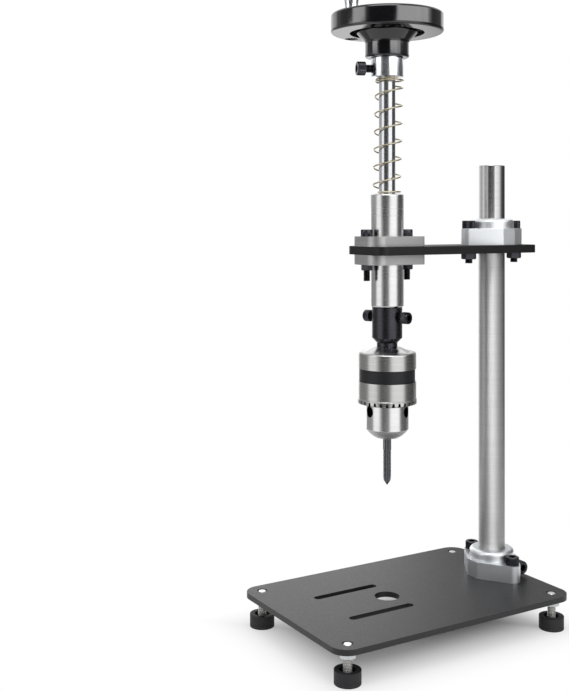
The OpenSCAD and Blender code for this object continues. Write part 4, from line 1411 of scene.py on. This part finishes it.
@dataclass
class Chuck:
    """The keyed chuck and the tap that it holds."""

    body: str = "spindle"
    sleeve_body: str = "chuck_sleeve"
    edge: float = 0.3 * MM
    tap_pitch: float = 1 * MM
    tap_thread_l: float = 26 * MM
    tap_thread_depth: float = 0.45 * MM
    tap_point_l: float = 3.6 * MM
    tap_point_r: float = 2.5 * MM
    tap_lead_l: float = 4 * MM
    tap_columns: int = 96
    tap_rows_per_pitch: int = 6
    flute_d: float = 3.2 * MM
    flute_l: float = 33.5 * MM
    flute_turn: float = 325.0
    flutes: int = 3

    def build(self) -> None:
        """Model the chuck's edges and the tap, and dress the other pieces."""
        soften("chuck_body", "chuck_core", self.edge, CORE_STEEL, self.body)
        soften("chuck_sleeve", "chuck_shell", self.edge, SLEEVE_STEEL, self.sleeve_body)
        dress_node("chuck_band", BAND_NYLON)
        dress_node("chuck_nut", CORE_STEEL)
        for i in (1, 2, 3):
            dress_node(f"chuck_jaw_{i}", TOOL_STEEL)
        self.build_tap()

    def tap_radius(self, height: float, angle: float, radius: float) -> float:
        """How far the tap's surface stands from its axis.

        Args:
            height: Height above the tap's point.
            angle: Angle about the axis, in radians.
            radius: The tap's radius.

        Returns:
            The radius there, with the thread, the point and the flutes cut.
        """
        turn = (height / self.tap_pitch - angle / FULL_TURN) % 1.0
        reach = radius
        if height < self.tap_thread_l:
            reach -= self.tap_thread_depth * abs(2 * turn - 1)
        if height < self.tap_point_l:
            reach = min(reach, self.tap_point_r * height / self.tap_point_l)
        lead = (radius - self.tap_point_r) * (height - self.tap_point_l) / self.tap_lead_l
        reach = min(reach, self.tap_point_r + max(lead, 0.0))
        step = FULL_TURN / self.flutes
        off = (angle - math.radians(self.flute_turn) + step / 2) % step - step / 2
        cut = self.flute_d / 2
        across = radius * math.sin(off)
        if height < self.flute_l and abs(off) < math.pi / 2 and abs(across) < cut:
            reach = min(reach, radius * math.cos(off) - math.sqrt(cut ** 2 - across ** 2))
        return max(reach, 0.0)

    def build_tap(self) -> None:
        """Wrap a fine grid round the axis as the tap's thread, point, flutes and shank."""
        low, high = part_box("tap")
        radius = radius_of("tap")
        length = high.z - low.z
        rows = round(length / (self.tap_pitch / self.tap_rows_per_pitch))
        deselect_all()
        bpy.ops.mesh.primitive_grid_add(x_subdivisions=self.tap_columns, y_subdivisions=rows,
                                        size=1.0)
        tap = bpy.context.active_object
        tap.name = "cutting_tap"
        with editing(tap):
            mesh = bmesh.from_edit_mesh(tap.data)
            for point in mesh.verts:
                angle = FULL_TURN * (point.co.x + 0.5)
                height = length * (point.co.y + 0.5)
                reach = self.tap_radius(height, angle, radius)
                point.co = (SPINDLE[0] + reach * math.cos(angle),
                            SPINDLE[1] + reach * math.sin(angle), low.z + height)
            bmesh.update_edit_mesh(tap.data)
            bpy.ops.mesh.remove_doubles(threshold=MERGE_M)
            bpy.ops.mesh.fill_holes(sides=0)
        tidy_mesh(tap)
        round_edges(tap, 0.0)
        mark_grooves(tap, SPINDLE, radius, radius - 2 * self.tap_thread_depth)
        fit(tap, TOOL_STEEL, self.body, "tap")


# Studio


class MirroredBy(Enum):
    """Which pieces mirror a reflector."""

    ALL = "every piece"
    COLUMN = "the column alone"
    OTHERS = "every piece but the column"


@dataclass(frozen=True)
class SoftBox:
    """An upright soft box. Its offset is an angle from the camera, to the right in the picture."""

    name: str
    offset: float
    spread: float
    light: float
    low: float = -0.2
    high: float = 1.3
    distance: float = 1.25


@dataclass(frozen=True)
class ReflectorRing:
    """A round wall that only reflections see, with one tone for each part of its circle.

    Each tone runs from one angle to the next, measured from the camera to the right in the
    picture. What they leave has the tone rest, and feather degrees soften each edge.
    """

    name: str
    low: float
    high: float
    rest: float
    tones: Tones = ()
    feather: int = 4
    radius: float = 0.5
    faces: int = 180
    mirrored_by: MirroredBy = MirroredBy.OTHERS

    def tone_at(self, offset: float) -> float:
        """Look up a tone, before its edges are feathered.

        Args:
            offset: The angle from the camera, in degrees.

        Returns:
            The tone there.
        """
        around = (offset + 180) % 360 - 180
        for start, end, tone in self.tones:
            if start <= around < end:
                return tone
        return self.rest

    def soft_tone_at(self, offset: float) -> float:
        """The mean tone within the feather's width on both sides of an angle."""
        near = [self.tone_at(offset + i) for i in range(-self.feather, self.feather + 1)]
        return sum(near) / len(near)


# The column's own rings stand just inside the others and let what lies behind them through
column_ring = functools.partial(ReflectorRing, radius=0.49, mirrored_by=MirroredBy.COLUMN)


def seen_ray(tree: Tree) -> Socket:
    """Tell the rays that see the white background from those that only light.

    Args:
        tree: The node tree that asks.

    Returns:
        The output that is one for camera, glossy and transmission rays.
    """
    path = add_node(tree, "ShaderNodeLightPath").outputs
    seen = path["Is Camera Ray"]
    for ray in ("Is Glossy Ray", "Is Transmission Ray"):
        seen = add_node(tree, "ShaderNodeMath", {0: seen, 1: path[ray]},
                        operation="MAXIMUM").outputs[0]
    return seen


def hang_light(name: str, place: Matrix, light: float, area: float, **shape: Any) -> None:
    """Hang a soft light for dull surfaces. What metal mirrors stands on the rings.

    Args:
        name: The light's name.
        place: Where it hangs.
        light: How bright its face is.
        area: Its face in square metres.
        **shape: The lamp's attributes for its shape and size.
    """
    data = bpy.data.lights.new(name, "AREA")
    for key, value in shape.items():
        setattr(data, key, value)
    data.energy = light * math.pi * area
    lamp = bpy.data.objects.new(name, data)
    lamp.matrix_world = place
    lamp.visible_camera = False
    lamp.visible_glossy = False
    bpy.context.scene.collection.objects.link(lamp)


@dataclass
class Studio:
    """Floor, light, background and camera."""

    camera_at: tuple[float, float, float] = (0.6168, -0.47495, 0.299)
    camera_turn: float = 59.31
    focal_px: float = 1048.5
    horizon_px: float = 219.73
    sensor_mm: float = 36.0
    ambient: float = 0.5
    floor_r: float = 3.0
    floor_steps: int = 96
    floor_colour: str = "#e4e4e4"
    shadow_from: float = -0.05
    shadow_to: float = 0.03
    top_size: float = 1.1
    top_height: float = 1.6
    top_light: float = 1.6
    soft_boxes: tuple[SoftBox, ...] = (
        SoftBox("left_soft_box", -56.0, 36.0, 1.9),
        SoftBox("right_soft_box", 44.0, 52.0, 1.9),
    )
    rings: tuple[ReflectorRing, ...] = (
        ReflectorRing("bottom_reflector", -0.6, -0.02, 0.3, (
            (-180, -146, 0.6), (-146, -82, 0.35), (-82, -50, 1.2), (-50, 8, 0.8), (8, 61, 1.4),
            (61, 140, 0.15), (140, 180, 0.4),
        )),
        ReflectorRing("lower_reflector", -0.02, 0.315, 0.3, (
            (-180, -146, 1.8), (-146, -82, 0.42), (-82, -46, 1.6), (-46, -36, 0.7),
            (-36, -18, 0.13), (-18, 2, 0.26), (2, 8, 0.8), (8, 62, 1.75), (62, 66, 0.7),
            (66, 76, 0.25), (76, 140, 0.14), (140, 172, 0.6), (172, 180, 1.6),
        )),
        ReflectorRing("middle_reflector", 0.315, 0.492, 0.3, (
            (-180, -146, 1.2), (-146, -80, 0.6), (-80, -50, 1.6), (-50, -8, 0.09),
            (-8, 13, 0.18), (13, 64, 1.7), (64, 70, 0.8), (70, 140, 0.1), (140, 172, 0.7),
            (172, 180, 1.2),
        )),
        ReflectorRing("hub_reflector", 0.492, 0.516, 0.06, (
            (-180, -125, 1.5), (-125, -84, 0.3), (-84, -57, 5.4), (8, 46, 5.6), (46, 64, 3.6),
            (64, 130, 0.25), (130, 180, 1.5),
        ), feather=2),
        ReflectorRing("upper_reflector", 0.516, 0.62, 0.1, (
            (-180, -122, 1.5), (-122, -108, 0.55), (-108, -75, 0.32), (-75, -49, 4.8),
            (-49, -42, 0.5), (11, 60, 5.2), (60, 79, 4.6), (79, 84, 2.4), (84, 90, 1.0),
            (90, 130, 0.25), (130, 180, 1.5),
        ), feather=2),
        ReflectorRing("top_reflector", 0.62, 1.3, 0.9, (
            (-180, -110, 1.3), (-45, 20, 5.0), (110, 180, 1.3),
        ), mirrored_by=MirroredBy.ALL),
        column_ring("column_lower_reflector", -0.6, 0.27, 0.18, (
            (-180, -150, 1.2), (-150, -128, 0.02), (-128, -85, 0.03), (-85, -62, 0.4),
            (-62, -48, 0.6), (-48, -38, 0.9), (-38, -24, 1.4), (-24, -10, 1.9), (-10, 26, 2.5),
            (26, 36, 1.8), (36, 47, 1.1), (47, 58, 0.55), (58, 130, 0.14), (130, 152, 0.06),
            (152, 180, 1.2),
        ), feather=6),
        column_ring("column_end_reflector", 0.27, 0.4, 0.06, (
            (-180, -150, 1.2), (-150, -127, 0.75), (-127, -111, 0.55), (-111, -97, 0.7),
            (-97, -85, 1.0), (-85, -73, 0.6), (-73, -50, 0.73), (-50, -40, 0.6),
            (-40, -30, 0.16), (-30, -10, 0.07), (-10, 10, 0.13), (10, 19, 0.26),
            (19, 28, 0.76), (28, 38, 1.5), (38, 56, 1.25), (56, 66, 1.1), (66, 75, 0.85),
            (75, 86, 0.4), (86, 98, 0.15), (152, 180, 1.2),
        ), feather=2),
        column_ring("column_upper_reflector", 0.4, 0.62, 0.45),
    )

    def build(self) -> None:
        """Set up the whole studio."""
        bpy.context.scene.view_settings.view_transform = "Standard"
        self.build_camera()
        self.build_world()
        self.build_floor()
        for box in self.soft_boxes:
            self.build_soft_box(box)
        for ring in self.rings:
            self.build_ring(ring)
        hang_light("top_soft_box", at(0.0, 0.0, self.top_height), self.top_light,
                   math.pi * (self.top_size / 2) ** 2, shape="DISK", size=self.top_size)

    def build_camera(self) -> None:
        """Stand the camera where the photograph was taken from."""
        data = bpy.data.cameras.new("view")
        data.sensor_width = self.sensor_mm
        data.lens = self.focal_px * self.sensor_mm / IMAGE_H_PX
        data.shift_y = (self.horizon_px - IMAGE_H_PX / 2) / IMAGE_H_PX
        camera = bpy.data.objects.new("view", data)
        camera.location = self.camera_at
        camera.rotation_euler = (math.pi / 2, 0.0, math.radians(self.camera_turn))
        bpy.context.scene.collection.objects.link(camera)
        bpy.context.scene.camera = camera

    def build_world(self) -> None:
        """White where it is seen, a plain even light where it lights."""
        world = bpy.data.worlds.new("studio_air")
        bpy.context.scene.world = world
        tree = empty_tree(world)
        lit, seen = (add_node(tree, "ShaderNodeBackground", {
            "Color": linear(WHITE), "Strength": strength,
        }) for strength in (self.ambient, 1.0))
        mix = add_node(tree, "ShaderNodeMixShader", {
            0: seen_ray(tree), 1: lit.outputs[0], 2: seen.outputs[0],
        })
        add_node(tree, "ShaderNodeOutputWorld", {"Surface": mix.outputs[0]})

    def build_floor(self) -> None:
        """Lay a pale floor that keeps the machine's shadow and runs out into the white."""
        deselect_all()
        bpy.ops.mesh.primitive_circle_add(vertices=self.floor_steps, radius=self.floor_r,
                                          fill_type="NGON")
        floor = bpy.context.active_object
        floor.name = "floor"
        made = bpy.data.materials.new("pale_studio_floor")
        tree = empty_tree(made)
        low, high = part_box("base_plate")
        middle = (*axis_of("base_plate"), 0.0)
        half = ((high.x - low.x) / 2, (high.y - low.y) / 2, 0.0)
        beyond = add_node(tree, "ShaderNodeTexCoord").outputs["Object"]
        for operation, other in (
            ("SUBTRACT", {1: middle}), ("ABSOLUTE", {}), ("SUBTRACT", {1: half}),
        ):
            beyond = add_node(tree, "ShaderNodeVectorMath", {0: beyond, **other},
                              operation=operation).outputs["Vector"]
        apart = add_node(tree, "ShaderNodeSeparateXYZ", {"Vector": beyond}).outputs
        reach = add_node(tree, "ShaderNodeMath", {0: apart["X"], 1: apart["Y"]},
                         operation="MAXIMUM")
        away = add_node(tree, "ShaderNodeMapRange", {
            "Value": reach.outputs[0], "From Min": self.shadow_from, "From Max": self.shadow_to,
        }, interpolation_type="SMOOTHSTEP").outputs["Result"]
        near = add_node(tree, "ShaderNodeBsdfDiffuse", {"Color": linear(self.floor_colour)})
        white = add_node(tree, "ShaderNodeEmission", {"Color": linear(WHITE), "Strength": 1.0})
        share = add_node(tree, "ShaderNodeMath", {0: away, 1: seen_ray(tree)},
                         operation="MULTIPLY")
        mix = add_node(tree, "ShaderNodeMixShader", {
            0: share.outputs[0], 1: near.outputs[0], 2: white.outputs[0],
        })
        add_node(tree, "ShaderNodeOutputMaterial", {"Surface": mix.outputs[0]})
        floor.data.materials.append(made)

    def build_soft_box(self, box: SoftBox) -> None:
        """Hang one soft box.

        Args:
            box: The soft box.
        """
        angle = math.radians(self.camera_turn - 90 + box.offset)
        away = Vector((math.cos(angle), math.sin(angle), 0.0))
        middle = away * box.distance + UP * (box.low + box.high) / 2
        place = Matrix.Translation(middle) @ away.to_track_quat("Z", "Y").to_matrix().to_4x4()
        width = 2 * box.distance * math.tan(math.radians(box.spread / 2))
        height = box.high - box.low
        hang_light(box.name, place, box.light, width * height, shape="RECTANGLE", size=width,
                   size_y=height)

    def build_ring(self, ring: ReflectorRing) -> None:
        """Stand one reflector ring round the machine.

        Args:
            ring: The ring.
        """
        deselect_all()
        bpy.ops.mesh.primitive_cylinder_add(
            vertices=ring.faces, radius=ring.radius, depth=ring.high - ring.low,
            end_fill_type="NOTHING", location=(0.0, 0.0, (ring.low + ring.high) / 2))
        wall = bpy.context.active_object
        wall.name = ring.name
        tones = wall.data.attributes.new(TONE, "FLOAT", "POINT")
        for point, tone in zip(wall.data.vertices, tones.data):
            angle = math.degrees(math.atan2(point.co.y, point.co.x))
            tone.value = ring.soft_tone_at(angle - self.camera_turn + 90)
        made = bpy.data.materials.new(ring.name)
        tree = empty_tree(made)
        made.cycles.emission_sampling = "NONE"
        strength = add_node(tree, "ShaderNodeAttribute", attribute_name=TONE).outputs["Fac"]
        surface = add_node(tree, "ShaderNodeEmission", {
            "Color": linear(WHITE), "Strength": strength,
        })
        if ring.mirrored_by == MirroredBy.COLUMN:
            clear = add_node(tree, "ShaderNodeBsdfTransparent")
            surface = add_node(tree, "ShaderNodeAddShader", {
                0: surface.outputs[0], 1: clear.outputs[0],
            })
        add_node(tree, "ShaderNodeOutputMaterial", {"Surface": surface.outputs[0]})
        wall.data.materials.append(made)
        wall.visible_camera = False
        wall.visible_diffuse = False
        wall.visible_shadow = False

    def share_rings(self, column: Piece) -> None:
        """Keep the column's own rings for the column, and the others off it.

        Args:
            column: The column's piece.
        """
        groups = {}
        for kind in (MirroredBy.COLUMN, MirroredBy.OTHERS):
            groups[kind] = bpy.data.collections.new(kind.name.lower())
            groups[kind].objects.link(column)
        left_out = groups[MirroredBy.OTHERS].collection_objects[0]
        left_out.light_linking.link_state = "EXCLUDE"
        for ring in self.rings:
            if ring.mirrored_by in groups:
                wall = bpy.data.objects[ring.name]
                wall.light_linking.receiver_collection = groups[ring.mirrored_by]


def main() -> None:
    """Build the studio and every sub-assembly in order."""
    logging.basicConfig(level=logging.INFO, format="%(message)s")
    studio = Studio()
    studio.build()
    Base().build()
    SplitClamp("base_clamp", "base", 0.0).build()
    studio.share_rings(Column().build())
    Arm().build()
    SplitClamp("arm_clamp", "arm", 90.0, plate_t=6 * MM, nut_finish=BLACK_OXIDE).build()
    ReturnSpring().build()
    Handwheel().build()
    CrankHandle().build()
    Spindle().build()
    Chuck().build()
    deselect_all()


if __name__ == "__main__":
    main()
